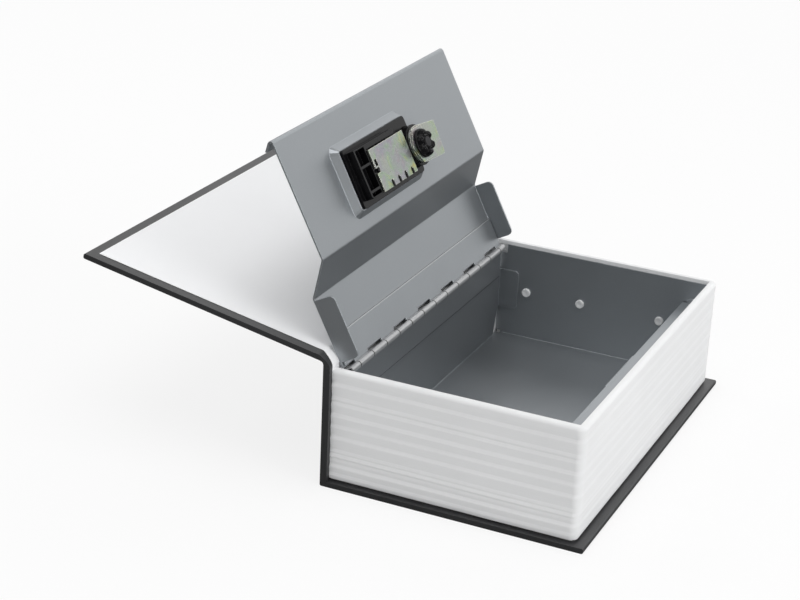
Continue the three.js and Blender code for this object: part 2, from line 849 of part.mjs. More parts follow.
// Bowed strip that presses on the dials' grips
function detentSpring() {
  const x = lockSpan.u + dialRadius + dialBayGap + seatGap;
  const half = springHeight / 2;
  const section = sheetSection([
    [x + springBow, dialAxisHeight - half], [x, dialAxisHeight, springBendRadius],
    [x + springBow, dialAxisHeight + half],
  ], springThickness);
  return lying(section, springTail() + springClearance, springHead() - springClearance);
}

function dialAxle() {
  const { u } = lockSpan;
  return rod(u, dialAxisHeight, dividerY(0) - dividerThickness + seatGap,
    dividerY(dialCount) + dividerThickness - seatGap, axleRadius, smallRoundSteps);
}

// Dial with a flat land for each digit and a hollow grip between two, built about its own axis
function dial() {
  const tooth = Math.PI / dialDigits;
  const rim = Array.from({ length: 2 * dialDigits }, (_, k) => {
    const isGrip = k % 2 === 0;
    const radius = isGrip ? dialRadius - dialGripDepth : dialRadius;
    const share = isGrip ? dialGripShare : dialLandShare;
    return [share, -share].map((lean) => new THREE.Vector2(
      radius * Math.cos((k - lean) * tooth), radius * Math.sin((k - lean) * tooth),
    ));
  }).flat();
  const shape = new THREE.Shape(rim);
  return cut(
    lying(shape, 0, dialWidth),
    rod(0, 0, -overrun, dialWidth + overrun, dialBoreRadius, roundSteps),
  );
}

// Sleeve inside a dial, with a flange that has the gate
function dialSleeve() {
  const r = sleeveFlangeRadius;
  const gate = block(
    [-r - overrun, dialWidth, -sleeveGateWidth / 2],
    [-r + sleeveGateDepth, sleeveWidth + overrun, sleeveGateWidth / 2],
  );
  return cut(
    join(rod(0, 0, 0, sleeveWidth, sleeveRadius), rod(0, 0, dialWidth + seatGap, sleeveWidth, r)),
    gate,
    rod(0, 0, -overrun, sleeveWidth + overrun, axleRadius + axleClearance, smallRoundSteps),
  );
}

// Cover plate with slots for the rib tips, a hole and a notch at the guide peg
function coverPlate() {
  const { u, v } = lockSpan;
  const top = bodyUnder - seatGap;
  const low = u - bodyHalfWidth;
  const peg = guidePegPlace();
  const tail = peg.y - plateNotchLength / 2;
  const sheet = standing(
    rectangle([low, tail], [u + bodyHalfWidth - seatGap, v - barrelRadius - spindleGap], 0),
    top - plateThickness, top,
  );
  const under = top - plateThickness - overrun;
  const above = top + overrun;
  const slots = Array.from({ length: dialCount + 1 }, (_, i) => block(
    [low - overrun, dividerY(i) - plateSlotWidth / 2, under],
    [low + plateSlotDepth, dividerY(i) + plateSlotWidth / 2, above],
  ));
  const notch = block(
    [peg.x - plateNotchWidth / 2, tail - overrun, under],
    [peg.x + plateNotchWidth / 2, tail + plateNotchLength, above],
  );
  const holeX = peg.x + plateHoleRise;
  const holeY = tail + plateHoleInset;
  const hole = block(
    [holeX, holeY, under], [holeX + plateHoleWidth, holeY + plateHoleLength, above],
  );
  return cut(sheet, ...slots, notch, hole);
}

// Barrel that the knob's spindle turns in
function lockBarrel() {
  const { u, v } = lockSpan;
  return cut(
    post(u, v, barrelEnd, bodyTop, barrelRadius),
    post(u, v, barrelEnd - overrun, bodyTop + overrun, barrelBoreRadius),
  );
}

// Outline of the bezel, which covers the pocket and the barrel, drawn in by an inset
function bezelOutline(inset) {
  const { u, v } = lockSpan;
  const grow = pocketBevel + bezelMargin - inset;
  return rectangle(
    [u - pocketFall - grow, v - pocketTailReach - grow],
    [u + pocketRise + grow, v + barrelRadius + bezelBarrelGap + bezelWall - inset],
    pocketCornerRadius + grow,
  );
}

// Bezel: hollow cap with dial windows and the knob's hole
function bezel() {
  const { u, v } = lockSpan;
  const base = panelTop + seatGap;
  const cap = join(
    rounded(bezelOutline(0), base, bezelTop, bezelEdge, arcSteps),
    standing(bezelOutline(0), base, base + bezelEdge),
  );
  const inside = standing(bezelOutline(bezelWall), base - overrun, bezelTop - bezelWall);
  const windows = Array.from({ length: dialCount }, (_, i) => block(
    [u - dialWindowLength / 2, dialY(i) - dialWindowGap, base - overrun],
    [u + dialWindowLength / 2, dialY(i) + dialWidth + dialWindowGap, bezelTop + overrun],
  ));
  const knobHole = post(u, v, base - overrun, bezelTop + overrun, knobStemRadius + knobStemGap);
  return cut(cap, inside, ...windows, knobHole);
}

// Knob, spindle, cam, washer and nut are built about the spindle's axis
function knob() {
  const base = bezelTop + spindleGap;
  const gripTop = base + knobBaseHeight + knobGripHeight;
  const profile = [
    [0, bodyTop + spindleGap], [knobStemRadius, bodyTop + spindleGap], [knobStemRadius, base],
    [knobRadius, base], [knobRadius, base + knobBaseHeight - bezelEdge / 2],
    [knobRadius - bezelEdge / 2, base + knobBaseHeight], [0, base + knobBaseHeight],
  ].map(([r, z]) => new THREE.Vector2(r, z));
  const disc = new THREE.LatheGeometry(profile, roundSteps);
  disc.rotateX(Math.PI / 2);
  const w = knobGripWidth / 2;
  const grip = lying(outline([
    [-w, base + knobBaseHeight / 2, 0], [w, base + knobBaseHeight / 2, 0],
    [w - knobGripTaper, gripTop, knobGripTaper], [-w + knobGripTaper, gripTop, knobGripTaper],
  ]), -knobRadius, knobRadius);
  const limit = post(0, 0, base, gripTop + overrun, knobRadius);
  return join(solid(disc), grip.intersect(limit));
}

function spindle() {
  const half = spindleSquare / 2;
  const squareEnd = nutTop;
  return join(
    post(0, 0, barrelEnd, bodyTop, spindleRadius),
    block([-half, -half, squareEnd], [half, half, barrelEnd + overrun]),
    post(0, 0, squareEnd - spindleTipLength, squareEnd + overrun, spindleTipRadius, smallRoundSteps),
  );
}

function camPlate() {
  const r = camHubRadius;
  const w = camTipHalfWidth;
  const tip = camTipRadius;
  const hub = Array.from({ length: roundSteps / 2 + 1 }, (_, k) => {
    const angle = Math.PI + Math.PI * k / (roundSteps / 2);
    return [r * Math.cos(angle), r * Math.sin(angle), 0];
  });
  const half = spindleSquare / 2 + spindleGap;
  const lean = THREE.MathUtils.degToRad(camLeanDegrees);
  const straight = roundedPath([...hub, [w, camReach, tip], [-w, camReach, tip]], true);
  const leaned = straight.map((point) => point.rotateAround(new THREE.Vector2(), lean));
  return cut(
    standing(new THREE.Shape(leaned), camTop - camThickness, camTop),
    block([-half, -half, camTop - camThickness - overrun], [half, half, camTop + overrun]),
  );
}

function camWasher() {
  const corner = washerFlats / 2 / Math.cos(Math.PI / 6);
  const half = spindleSquare / 2 + spindleGap;
  return cut(
    post(0, 0, washerTop - washerThickness, washerTop, corner, 6),
    block([-half, -half, washerTop - washerThickness - overrun], [half, half, washerTop + overrun]),
  );
}

// Lobed nut with a round base
function camNut() {
  const steps = lobeSteps * nutLobes;
  const rim = Array.from({ length: steps }, (_, k) => {
    const angle = 2 * Math.PI * k / steps;
    const radius = nutRadius - nutLobeDepth * (1 - Math.cos(nutLobes * angle)) / 2;
    return new THREE.Vector2(radius * Math.cos(angle), radius * Math.sin(angle));
  });
  return cut(
    join(
      post(0, 0, nutTop - nutBaseHeight, nutTop, nutRadius),
      rounded(
        new THREE.Shape(rim), nutTop - nutHeight, nutTop - nutBaseHeight / 2, nutEdgeRounding, 1,
      ),
    ),
    post(
      0, 0, nutTop - nutHeight - overrun, nutTop + overrun, spindleTipRadius + spindleGap,
      smallRoundSteps,
    ),
  );
}

// Front cover, built from its fold line along +X with its outer face at zero height
const frontLength = coverWidth - jointWidth;

function frontBoard() {
  const skin = clothThickness + glueLine;
  return block(
    [jointEndGap + skin, -halfHeight + skin, -skin - boardThickness],
    [frontLength - skin, halfHeight - skin, -skin],
  );
}

function frontCloth() {
  const t = clothThickness;
  const r = clothEdgeRadius;
  const inner = -boardThickness - 2 * (clothThickness + glueLine);
  const section = outline([
    [jointEndGap, inner, r], [frontLength, inner, r], [frontLength, 0, r], [jointEndGap, 0, r],
  ]);
  const endY = halfHeight - t;
  const windowY = halfHeight - turnIn;
  return cut(
    lying(section, -halfHeight, halfHeight),
    block([jointEndGap + t, -endY, inner + t], [frontLength - t, endY, -t]),
    block([jointEndGap + turnIn, -windowY, inner - overrun], [frontLength - turnIn, windowY, -t]),
  );
}

function frontEndpaper() {
  const top = -boardThickness - 2 * (clothThickness + glueLine) - glueLine;
  const end = halfHeight - paperMargin;
  return block(
    [jointEndGap + clothEdgeRadius, -end, top - paperThickness], [frontLength - paperMargin, end, top],
  );
}

// Joint strip between its two fold lines: cloth outside, paper lining inside
function jointCloth(length) {
  return block([jointEndGap, -halfHeight, -clothThickness], [length - jointEndGap, halfHeight, 0]);
}

function jointLining(length) {
  const top = -clothThickness - glueLine;
  const end = halfHeight - paperMargin;
  return block([jointEndGap, -end, top - paperThickness], [length - jointEndGap, end, top]);
}

// The joint's fold line on the spine is where one turn carries the cover's fold line from its
// closed place to its place at rest
function jointPlaces() {
  const open = THREE.MathUtils.degToRad(coverOpenDegrees);
  const turn = THREE.MathUtils.degToRad(jointOpenDegrees);
  const closedFold = new THREE.Vector2(spineOuterX + jointWidth, closedThickness);
  const restFold = new THREE.Vector2(Math.cos(open), Math.sin(open)).multiplyScalar(jointWidth)
    .add(new THREE.Vector2(spineOuterX, closedThickness + jointRestRise));
  const chord = restFold.clone().sub(closedFold);
  const middle = restFold.clone().add(closedFold).divideScalar(2);
  const up = new THREE.Vector2(chord.y, -chord.x).normalize();
  const spineFold = middle.addScaledVector(up, -chord.length() / 2 / Math.tan(turn / 2));
  return { spineFold, restFold, length: restFold.distanceTo(spineFold) };
}

// Scene graph: root pieces, then the turned groups
const book = new THREE.Group();

function place(parent, name, body, finish) {
  const mesh = new THREE.Mesh(geometryOf(body), finish);
  mesh.name = name;
  parent.add(mesh);
}

function turnedGroup(parent, x, y, z, openDegrees) {
  const group = new THREE.Group();
  group.position.set(x, y, z);
  group.rotation.y = -THREE.MathUtils.degToRad(openDegrees);
  parent.add(group);
  return group;
}

function addCase() {
  place(book, 'back_board', backBoard(), boardFinish());
  place(book, 'spine_board', spineBoard(), boardFinish());
  place(book, 'case_cloth', caseCloth(), clothFinish());
  place(book, 'spine_lining', spineLining(), paperFinish());
}

function addBox() {
  place(book, 'page_shell', pageShell(), shellFinish());
  place(book, 'steel_box', steelBox(), paintedSteel());
  place(book, 'keeper', keeper(), paintedSteel());
  const hinge = turnedGroup(book, hingeX, 0, hingeZ, -90);
  place(hinge, 'hinge_box_leaf', hingeLeaf(0, -1), hingeSteel());
  place(hinge, 'hinge_pin', hingePin(), brightSteel());
}

function addLid() {
  const lid = turnedGroup(book, hingeX, 0, hingeZ, lidOpenDegrees);
  place(lid, 'lid_panel', lidPanel(), paintedSteel());
  place(lid, 'hinge_lid_leaf', hingeLeaf(1, 1), hingeSteel());
  place(lid, 'lock_body', lockBody(), blackPlastic());
  place(lid, 'lock_barrel', lockBarrel(), blackPlastic());
  place(lid, 'lock_bezel', bezel(), blackPlastic());
  place(lid, 'lock_cover_plate', coverPlate(), zincPlate());
  place(lid, 'dial_axle', dialAxle(), brightSteel());
  place(lid, 'detent_spring', detentSpring(), brightSteel());
  for (let i = 0; i < dialCount; i += 1) {
    const axis = turnedGroup(lid, lockSpan.u, dialY(i), dialAxisHeight, 0);
    place(axis, `dial_${i + 1}`, dial(), dialPlastic());
    place(axis, `dial_sleeve_${i + 1}`, dialSleeve(), zincPlate());
  }
  const turning = turnedGroup(lid, lockSpan.u, lockSpan.v, 0, 0);
  place(turning, 'knob', knob(), blackPlastic());
  place(turning, 'spindle', spindle(), brightSteel());
  place(turning, 'cam_plate', camPlate(), zincPlate());
  place(turning, 'cam_washer', camWasher(), zincPlate());
  place(turning, 'cam_nut', camNut(), blackPlastic());
}

function addFrontCover() {
  const { spineFold, restFold, length } = jointPlaces();
  const rise = THREE.MathUtils.radToDeg(restFold.clone().sub(spineFold).angle());
  const strip = turnedGroup(book, spineFold.x, 0, spineFold.y, rise);
  place(strip, 'joint_cloth', jointCloth(length), clothFinish());
  place(strip, 'joint_lining', jointLining(length), paperFinish());
  const cover = turnedGroup(book, restFold.x, 0, restFold.y, coverOpenDegrees);
  place(cover, 'front_board', frontBoard(), boardFinish());
  place(cover, 'front_cloth', frontCloth(), clothFinish());
  place(cover, 'front_endpaper', frontEndpaper(), paperFinish());
}

addCase();
addBox();
addLid();
addFrontCover();

export default book;
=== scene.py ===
"""Looks of a hollow book that hides a steel box.

The book lies open on a table: a moulded page block with ridged edges round a folded steel
box, a hinged steel lid with its lock, and a cloth-covered front cover on a cloth joint.
"""

import json
import math

import bmesh
import bpy
import numpy as np
from bpy.props import FloatProperty, FloatVectorProperty, IntProperty, PointerProperty
from mathutils import Matrix, Vector


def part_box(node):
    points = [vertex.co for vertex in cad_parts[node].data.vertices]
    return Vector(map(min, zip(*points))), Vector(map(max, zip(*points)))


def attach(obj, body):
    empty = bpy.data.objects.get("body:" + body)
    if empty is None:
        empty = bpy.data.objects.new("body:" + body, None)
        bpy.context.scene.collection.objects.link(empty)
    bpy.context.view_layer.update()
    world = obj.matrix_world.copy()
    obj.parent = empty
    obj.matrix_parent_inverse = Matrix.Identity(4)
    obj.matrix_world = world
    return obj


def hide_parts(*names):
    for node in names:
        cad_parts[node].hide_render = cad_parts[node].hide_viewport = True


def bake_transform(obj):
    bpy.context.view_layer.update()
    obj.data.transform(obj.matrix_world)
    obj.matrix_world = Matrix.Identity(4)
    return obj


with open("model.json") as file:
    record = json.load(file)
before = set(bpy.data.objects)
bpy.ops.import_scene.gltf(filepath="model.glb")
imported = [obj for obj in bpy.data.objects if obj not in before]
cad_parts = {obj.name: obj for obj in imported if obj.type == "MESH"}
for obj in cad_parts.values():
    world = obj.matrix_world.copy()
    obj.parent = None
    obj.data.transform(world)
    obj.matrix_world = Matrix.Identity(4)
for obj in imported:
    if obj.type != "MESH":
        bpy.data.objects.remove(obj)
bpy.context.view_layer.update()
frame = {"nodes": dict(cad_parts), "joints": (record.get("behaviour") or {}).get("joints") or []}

bl_info = {
    "name": "Hollow Book Box",
    "version": (1, 0, 0),
    "blender": (4, 5, 0),
    "location": "View3D > Sidebar > Book Box",
    "description": "Dresses a hollow book with a steel box, a lid with a lock and cloth covers",
    "category": "Add Mesh",
}

MM = 0.001
SHELL_LOW, SHELL_HIGH = (np.array(corner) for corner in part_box("page_shell"))
JOINT_PLACES = {joint["name"]: np.array(joint["pos_m"]) for joint in frame["joints"]}


class PageBlockSizes(bpy.types.PropertyGroup):
    """Sizes of the moulded page block."""

    wall: FloatProperty(
        name="Wall", description="Thickness of the block's walls",
        default=2.2 * MM, min=0.5 * MM, unit="LENGTH")
    corner_radius: FloatProperty(
        name="Corner radius", description="Radius of the two upright corners at the fore edge",
        default=3.5 * MM, min=0.5 * MM, unit="LENGTH")
    rim_height: FloatProperty(
        name="Rim height", description="Height of the smooth rim above the ridges",
        default=1.95 * MM, min=0.0, unit="LENGTH")
    rim_radius: FloatProperty(
        name="Rim radius", description="Radius of the rim's outer edge",
        default=1.6 * MM, min=0.1 * MM, unit="LENGTH")
    lip: FloatProperty(
        name="Lip", description="How far the rim reaches over the steel box",
        default=0.9 * MM, min=0.0, unit="LENGTH")
    lip_thickness: FloatProperty(
        name="Lip thickness", description="Thickness of the rim where it reaches over the box",
        default=1.8 * MM, min=0.1 * MM, unit="LENGTH")
    ridge_scale: FloatProperty(
        name="Ridge depth", description="Depth of the gathered page edges, 1 as moulded",
        default=1.6, min=0.0, max=2.0)
    fore_smoothness: FloatProperty(
        name="Fore edge smoothness", description="Share by which the ridges are fainter there",
        default=0.7, min=0.0, max=1.0)
    ripple_depth: FloatProperty(
        name="Ripple depth", description="Depth of the fine page lines on each ridge",
        default=0.036 * MM, min=0.0, unit="LENGTH")
    spine_wall_drop: FloatProperty(
        name="Spine wall drop", description="How far the wall at the spine ends below the rim",
        default=3.8 * MM, min=0.0, unit="LENGTH")
    peg_radius: FloatProperty(
        name="Peg radius", description="Radius of the peg heads that hold the steel box",
        default=2.1 * MM, min=0.5 * MM, unit="LENGTH")
    peg_height: FloatProperty(
        name="Peg height", description="Height of the peg heads over the steel",
        default=1.0 * MM, min=0.1 * MM, unit="LENGTH")


class CoverSizes(bpy.types.PropertyGroup):
    """Sizes of the cloth joint between spine and front cover."""

    spine_thickness: FloatProperty(
        name="Spine thickness", description="Thickness of the joint where it leaves the spine",
        default=3.0 * MM, min=0.3 * MM, unit="LENGTH")
    joint_thickness: FloatProperty(
        name="Joint thickness", description="Thickness of the cloth roll between spine and cover",
        default=1.7 * MM, min=0.3 * MM, unit="LENGTH")
    edge_thickness: FloatProperty(
        name="Edge thickness", description="Thickness of the joint where it meets the cover",
        default=2.38 * MM, min=0.3 * MM, unit="LENGTH")
    lining_thickness: FloatProperty(
        name="Lining thickness", description="Thickness of the paper inside the joint",
        default=0.15 * MM, min=0.05 * MM, unit="LENGTH")
    spine_margin: FloatProperty(
        name="Margin at the spine", description="Dark margin beside the lining at the spine",
        default=2.2 * MM, min=0.0, unit="LENGTH")
    cover_margin: FloatProperty(
        name="Margin at the cover", description="Dark margin beside the lining at the cover",
        default=4.6 * MM, min=0.0, unit="LENGTH")
    edge_lap: FloatProperty(
        name="Edge lap", description="How far the joint's cloth reaches round the cover's edge",
        default=1.2 * MM, min=0.0, unit="LENGTH")


class DialSizes(bpy.types.PropertyGroup):
    """Sizes of the numbers on the dials."""

    digits: IntProperty(
        name="Digits", description="Numbers on each dial", default=10, min=2, max=12)
    digit_height: FloatProperty(
        name="Digit height", description="Height of the numbers",
        default=1.9 * MM, min=0.5 * MM, unit="LENGTH")
    land_height: FloatProperty(
        name="Land height", description="Distance from a dial's axis to its flat lands",
        default=6.08 * MM, min=1 * MM, unit="LENGTH")
    paint_thickness: FloatProperty(
        name="Paint thickness", description="How far the number paint stands on the dial",
        default=0.05 * MM, min=0.01 * MM, unit="LENGTH")


class NutSizes(bpy.types.PropertyGroup):
    """Sizes of the nut that holds the cam."""

    lobes: IntProperty(name="Lobes", description="Grips round the nut", default=6, min=3, max=12)
    radius: FloatProperty(
        name="Radius", description="Radius over the lobes",
        default=6.4 * MM, min=1 * MM, unit="LENGTH")
    lobe_depth: FloatProperty(
        name="Lobe depth", description="Depth of the notches between the lobes",
        default=1.3 * MM, min=0.0, unit="LENGTH")
    valley_depth: FloatProperty(
        name="Valley depth", description="Depth of the valleys between the lobes on top",
        default=1.2 * MM, min=0.0, unit="LENGTH")
    hole_radius: FloatProperty(
        name="Hole radius", description="Radius of the hole for the spindle",
        default=2.5 * MM, min=0.1 * MM, unit="LENGTH")
    height: FloatProperty(
        name="Height", description="Height of the nut", default=3.4 * MM, min=1 * MM, unit="LENGTH")
    seat: FloatProperty(
        name="Seat", description="Distance from the lid's reference plane to the nut's foot",
        default=20.02 * MM, min=0.0, unit="LENGTH")


class BookColours(bpy.types.PropertyGroup):
    """Colours of the finishes."""

    cloth: FloatVectorProperty(
        name="Book cloth", description="Dark grey cloth on the covers",
        subtype="COLOR", default=(0.016, 0.0165, 0.018), min=0, max=1)
    board: FloatVectorProperty(
        name="Board", description="Grey-brown board under the cloth",
        subtype="COLOR", default=(0.28, 0.24, 0.19), min=0, max=1)
    paper: FloatVectorProperty(
        name="Endpaper", description="White paper inside the covers",
        subtype="COLOR", default=(0.9, 0.905, 0.915), min=0, max=1)
    pages: FloatVectorProperty(
        name="Page block", description="White plastic of the page block",
        subtype="COLOR", default=(0.82, 0.825, 0.83), min=0, max=1)
    steel: FloatVectorProperty(
        name="Painted steel", description="Grey paint on the box and lid",
        subtype="COLOR", default=(0.328, 0.347, 0.364), min=0, max=1)
    # Painted shade: darkens the hinge pin in the knuckle gaps and the spindle in the nut's hole.
    dark: FloatVectorProperty(
        name="Dark steel", description="Oiled steel of the hinge pin and the knob's spindle",
        subtype="COLOR", default=(0.018, 0.018, 0.02), min=0, max=1)
    black: FloatVectorProperty(
        name="Black plastic", description="Plastic of the lock and knob",
        subtype="COLOR", default=(0.004, 0.004, 0.0045), min=0, max=1)
    zinc: FloatVectorProperty(
        name="Zinc plating", description="Yellow-green plating of the lock's plates",
        subtype="COLOR", default=(0.40, 0.45, 0.34), min=0, max=1)
    bright: FloatVectorProperty(
        name="Bright steel", description="Bare steel of pins, axle and spring",
        subtype="COLOR", default=(0.46, 0.465, 0.47), min=0, max=1)
    digits: FloatVectorProperty(
        name="Dial numbers", description="White paint of the dial numbers",
        subtype="COLOR", default=(0.82, 0.82, 0.8), min=0, max=1)
    floor: FloatVectorProperty(
        name="Floor", description="Pale floor under the book",
        subtype="COLOR", default=(0.84, 0.84, 0.84), min=0, max=1)


class BookSettings(bpy.types.PropertyGroup):
    """Everything that a user may change."""

    pages: PointerProperty(type=PageBlockSizes)
    cover: PointerProperty(type=CoverSizes)
    dials: PointerProperty(type=DialSizes)
    nut: PointerProperty(type=NutSizes)
    colours: PointerProperty(type=BookColours)


def settings():
    return bpy.context.scene.book_box


# Surfaces

CREASE = 35
JOINT_CREASE = 50
NUT_CREASE = 60
WELD = 1e-7


def surface(name, points, wrap_rows=False, wrap_columns=False, caps=False, crease=CREASE):
    """Piece whose faces are the cells between neighbouring rows and columns of a grid of points.

    Wrapped rows or columns close the grid on itself, and caps close the first and last column.
    """
    rows, columns = points.shape[:2]
    index = np.arange(rows * columns).reshape(rows, columns)
    if wrap_rows:
        index = np.vstack([index, index[:1]])
    if wrap_columns:
        index = np.hstack([index, index[:, :1]])
    cells = np.stack([index[:-1, :-1], index[:-1, 1:], index[1:, 1:], index[1:, :-1]], axis=-1)
    faces = cells.reshape(-1, 4).tolist()
    if caps:
        faces.append(index[:rows, 0].tolist())
        faces.append(index[:rows, columns - 1][::-1].tolist())
    return piece(name, points.reshape(-1, 3), faces, crease)


def piece(name, corners, faces, crease=CREASE):
    """Mesh object with smooth faces and sharp edges where two faces meet above an angle in degrees."""
    mesh = bpy.data.meshes.new(name)
    mesh.from_pydata(corners.tolist(), [], faces)
    face_outward(mesh)
    mesh.polygons.foreach_set("use_smooth", [True] * len(mesh.polygons))
    mesh.set_sharp_from_angle(angle=math.radians(crease))
    mesh.update()
    return in_scene(name, mesh)


def in_scene(name, data):
    """New object in the scene that shows a mesh, text, lamp or camera."""
    made = bpy.data.objects.new(name, data)
    bpy.context.scene.collection.objects.link(made)
    return made


def face_outward(mesh):
    """Joins corners that lie on each other and turns every face of a closed mesh outward."""
    work = bmesh.new()
    work.from_mesh(mesh)
    bmesh.ops.remove_doubles(work, verts=work.verts, dist=WELD)
    bmesh.ops.recalc_face_normals(work, faces=work.faces)
    work.to_mesh(mesh)
    work.free()


def give(made, finish):
    """Puts one finish on every face of a piece, also where a slot belongs to the object."""
    made.data.materials.clear()
    made.data.materials.append(finish)
    for slot in made.material_slots:
        slot.material = finish


def dress(finish, *names):
    """Puts a finish on nodes that are shown as built."""
    for name in names:
        give(frame["nodes"][name], finish)


def carried_along(name, section, half_lengths, columns, crease):
    """Closed piece whose section in x and z is carried along Y, each point to its own length."""
    points = np.empty((len(section), columns, 3))
    points[..., 0] = section[:, :1]
    points[..., 1] = half_lengths[:, None] * np.linspace(-1, 1, columns)
    points[..., 2] = section[:, 1:]
    return surface(name, points, wrap_rows=True, caps=True, crease=crease)


def arc(centre, radius, start, end, steps):
    """Points at equal turns round a centre from a start angle to an end angle, in degrees."""
    angle = np.radians(np.linspace(start, end, steps + 1))
    return np.stack([centre[0] + radius * np.cos(angle), centre[1] + radius * np.sin(angle)], axis=-1)


# Finishes

# Range that nearly all of a noise lies in
NOISE_RANGE = (0.3, 0.7)
# Colour sockets of a mix node
MIX_FIRST, MIX_SECOND, MIX_RESULT = 6, 7, 2
# Cosines of the turn at an edge where the painted edge highlight begins and where it is full
EDGE_LIGHT_RANGE = (0.99, 0.9)


def finish(name, colour, roughness, metallic=0.0, specular=0.5):
    """New material with one shader, its tree and the shader."""
    made = bpy.data.materials.new(name)
    made.use_nodes = True
    tree = made.node_tree
    shader = tree.nodes["Principled BSDF"]
    shader.inputs["Base Color"].default_value = (*colour, 1)
    shader.inputs["Roughness"].default_value = roughness
    shader.inputs["Metallic"].default_value = metallic
    shader.inputs["Specular IOR Level"].default_value = specular
    made.diffuse_color = (*colour, 1)
    return made, tree, shader


def node(tree, kind, inputs=(), **options):
    """New node with its options, whose inputs are numbers or other nodes' outputs."""
    made = tree.nodes.new(kind)
    for key, value in options.items():
        setattr(made, key, value)
    for key, value in dict(inputs).items():
        if isinstance(value, bpy.types.NodeSocket):
            tree.links.new(value, made.inputs[key])
        else:
            made.inputs[key].default_value = value
    return made


def place_on_object(tree, stretch):
    """Object coordinates in metres, stretched along each axis."""
    where = node(tree, "ShaderNodeTexCoord").outputs["Object"]
    return node(tree, "ShaderNodeMapping", {"Vector": where, "Scale": stretch}).outputs["Vector"]


def noise(tree, scale, detail, roughness=0.5, distortion=0.0, stretch=(1, 1, 1)):
    """Noise of about the given number of spots per metre, from 0 to 1, stretched along each axis."""
    return node(tree, "ShaderNodeTexNoise", {
        "Vector": place_on_object(tree, stretch), "Scale": scale, "Detail": detail,
        "Roughness": roughness, "Distortion": distortion,
    }).outputs["Fac"]


def spread(tree, value, low, high, to_low, to_high):
    """A value moved from one range to another and held inside it."""
    return node(tree, "ShaderNodeMapRange", {
        "Value": value, "From Min": low, "From Max": high, "To Min": to_low, "To Max": to_high,
    }).outputs["Result"]


def stretched(tree, value, to_low=0, to_high=1):
    """A noise spread so that its usual range fills another one."""
    return spread(tree, value, *NOISE_RANGE, to_low, to_high)


def blend_colours(tree, share, first, second):
    """Colour between two colours or colour outputs by a share."""
    first, second = (
        each if isinstance(each, bpy.types.NodeSocket) else (*each, 1) for each in (first, second))
    inputs = {"Factor": share, MIX_FIRST: first, MIX_SECOND: second}
    return node(tree, "ShaderNodeMix", inputs, data_type="RGBA").outputs[MIX_RESULT]


def soft_edges(tree, radius):
    """Normal that rounds the look of sharp edges by a small radius."""
    return node(tree, "ShaderNodeBevel", {"Radius": radius}, samples=6).outputs["Normal"]


def edge_share(tree, radius):
    """Share that grows from 0 on flat faces to 1 at sharp edges, for a painted edge highlight."""
    flat = node(tree, "ShaderNodeNewGeometry").outputs["Normal"]
    facing = node(
        tree, "ShaderNodeVectorMath", {0: soft_edges(tree, radius), 1: flat}, operation="DOT_PRODUCT")
    return spread(tree, facing.outputs["Value"], *EDGE_LIGHT_RANGE, 0, 1)


def bump(tree, shader, height, distance, strength=1.0, under=None):
    """Relief of a height output on a shader, on top of another relief where one is given."""
    inputs = {"Height": height, "Distance": distance, "Strength": strength}
    if under is not None:
        inputs["Normal"] = under
    made = node(tree, "ShaderNodeBump", inputs).outputs["Normal"]
    tree.links.new(made, shader.inputs["Normal"])
    return made


def tint(colour, share):
    """Colour made lighter or darker by a share of itself."""
    return tuple(min(1.0, channel * (1 + share)) for channel in colour)


def vary(tree, shader, share, colour, darker, lighter):
    """Links a colour that runs between two tints of itself by a share."""
    tone = blend_colours(tree, share, tint(colour, darker), tint(colour, lighter))
    tree.links.new(tone, shader.inputs["Base Color"])


def vary_gloss(tree, shader, value, low, high):
    """Links a roughness that runs between two values with a noise."""
    tree.links.new(stretched(tree, value, low, high), shader.inputs["Roughness"])


# Scale of the weave, which has 20 / (2 pi) times as many threads a metre
WEAVE = 700
# Stretch of a grain along its lines
PAGE_GRAIN = 0.03
DRAWN_GRAIN = 0.04
WORN_GRAIN = 0.05


def cloth_finish(name, colour):
    """Coated book cloth: a fine woven grain under a satin coating, with slow changes of tone."""
    made, tree, shader = finish(name, colour, 0.46, specular=0.62)
    shader.inputs["Coat Weight"].default_value = 0.35
    shader.inputs["Coat Roughness"].default_value = 0.45
    slow = noise(tree, 22, 4)
    fine = noise(tree, 1900, 2)
    tone = blend_colours(
        tree, spread(tree, slow, 0.35, 0.65, 0, 1), tint(colour, -0.12), tint(colour, 0.12))
    flecks = blend_colours(tree, spread(tree, fine, 0.45, 0.75, 0, 0.35), tone, tint(colour, 0.8))
    tree.links.new(flecks, shader.inputs["Base Color"])
    vary_gloss(tree, shader, slow, 0.42, 0.52)
    threads = [
        node(tree, "ShaderNodeTexWave", {
            "Vector": place_on_object(tree, [WEAVE] * 3), "Scale": 1.0, "Distortion": 1.2,
            "Detail": 2.0, "Detail Scale": 1.5,
        }, bands_direction=direction).outputs["Fac"]
        for direction in ("X", "Y")
    ]
    weave = node(tree, "ShaderNodeMath", {0: threads[0], 1: threads[1]}, operation="ADD").outputs[0]
    under = bump(tree, shader, weave, 0.02 * MM, 0.5, soft_edges(tree, 0.3 * MM))
    bump(tree, shader, fine, 0.05 * MM, 0.6, under)
    return made


def board_finish(name, colour):
    """Grey-brown binder's board with fibres pressed flat."""
    made, tree, shader = finish(name, colour, 0.92, specular=0.2)
    fibres = noise(tree, 700, 4, 0.7, stretch=(1, 1, 6))
    vary(tree, shader, stretched(tree, fibres), colour, -0.25, 0.2)
    bump(tree, shader, fibres, 0.1 * MM, 0.6)
    return made


def paper_finish(name, colour):
    """White endpaper with a faint tooth and slow changes of tone."""
    made, tree, shader = finish(name, colour, 0.72, specular=0.3)
    slow = noise(tree, 14, 3)
    tooth = noise(tree, 1400, 3, 0.6)
    vary(tree, shader, stretched(tree, slow), colour, -0.015, 0.01)
    bump(tree, shader, tooth, 0.015 * MM, 0.5)
    return made


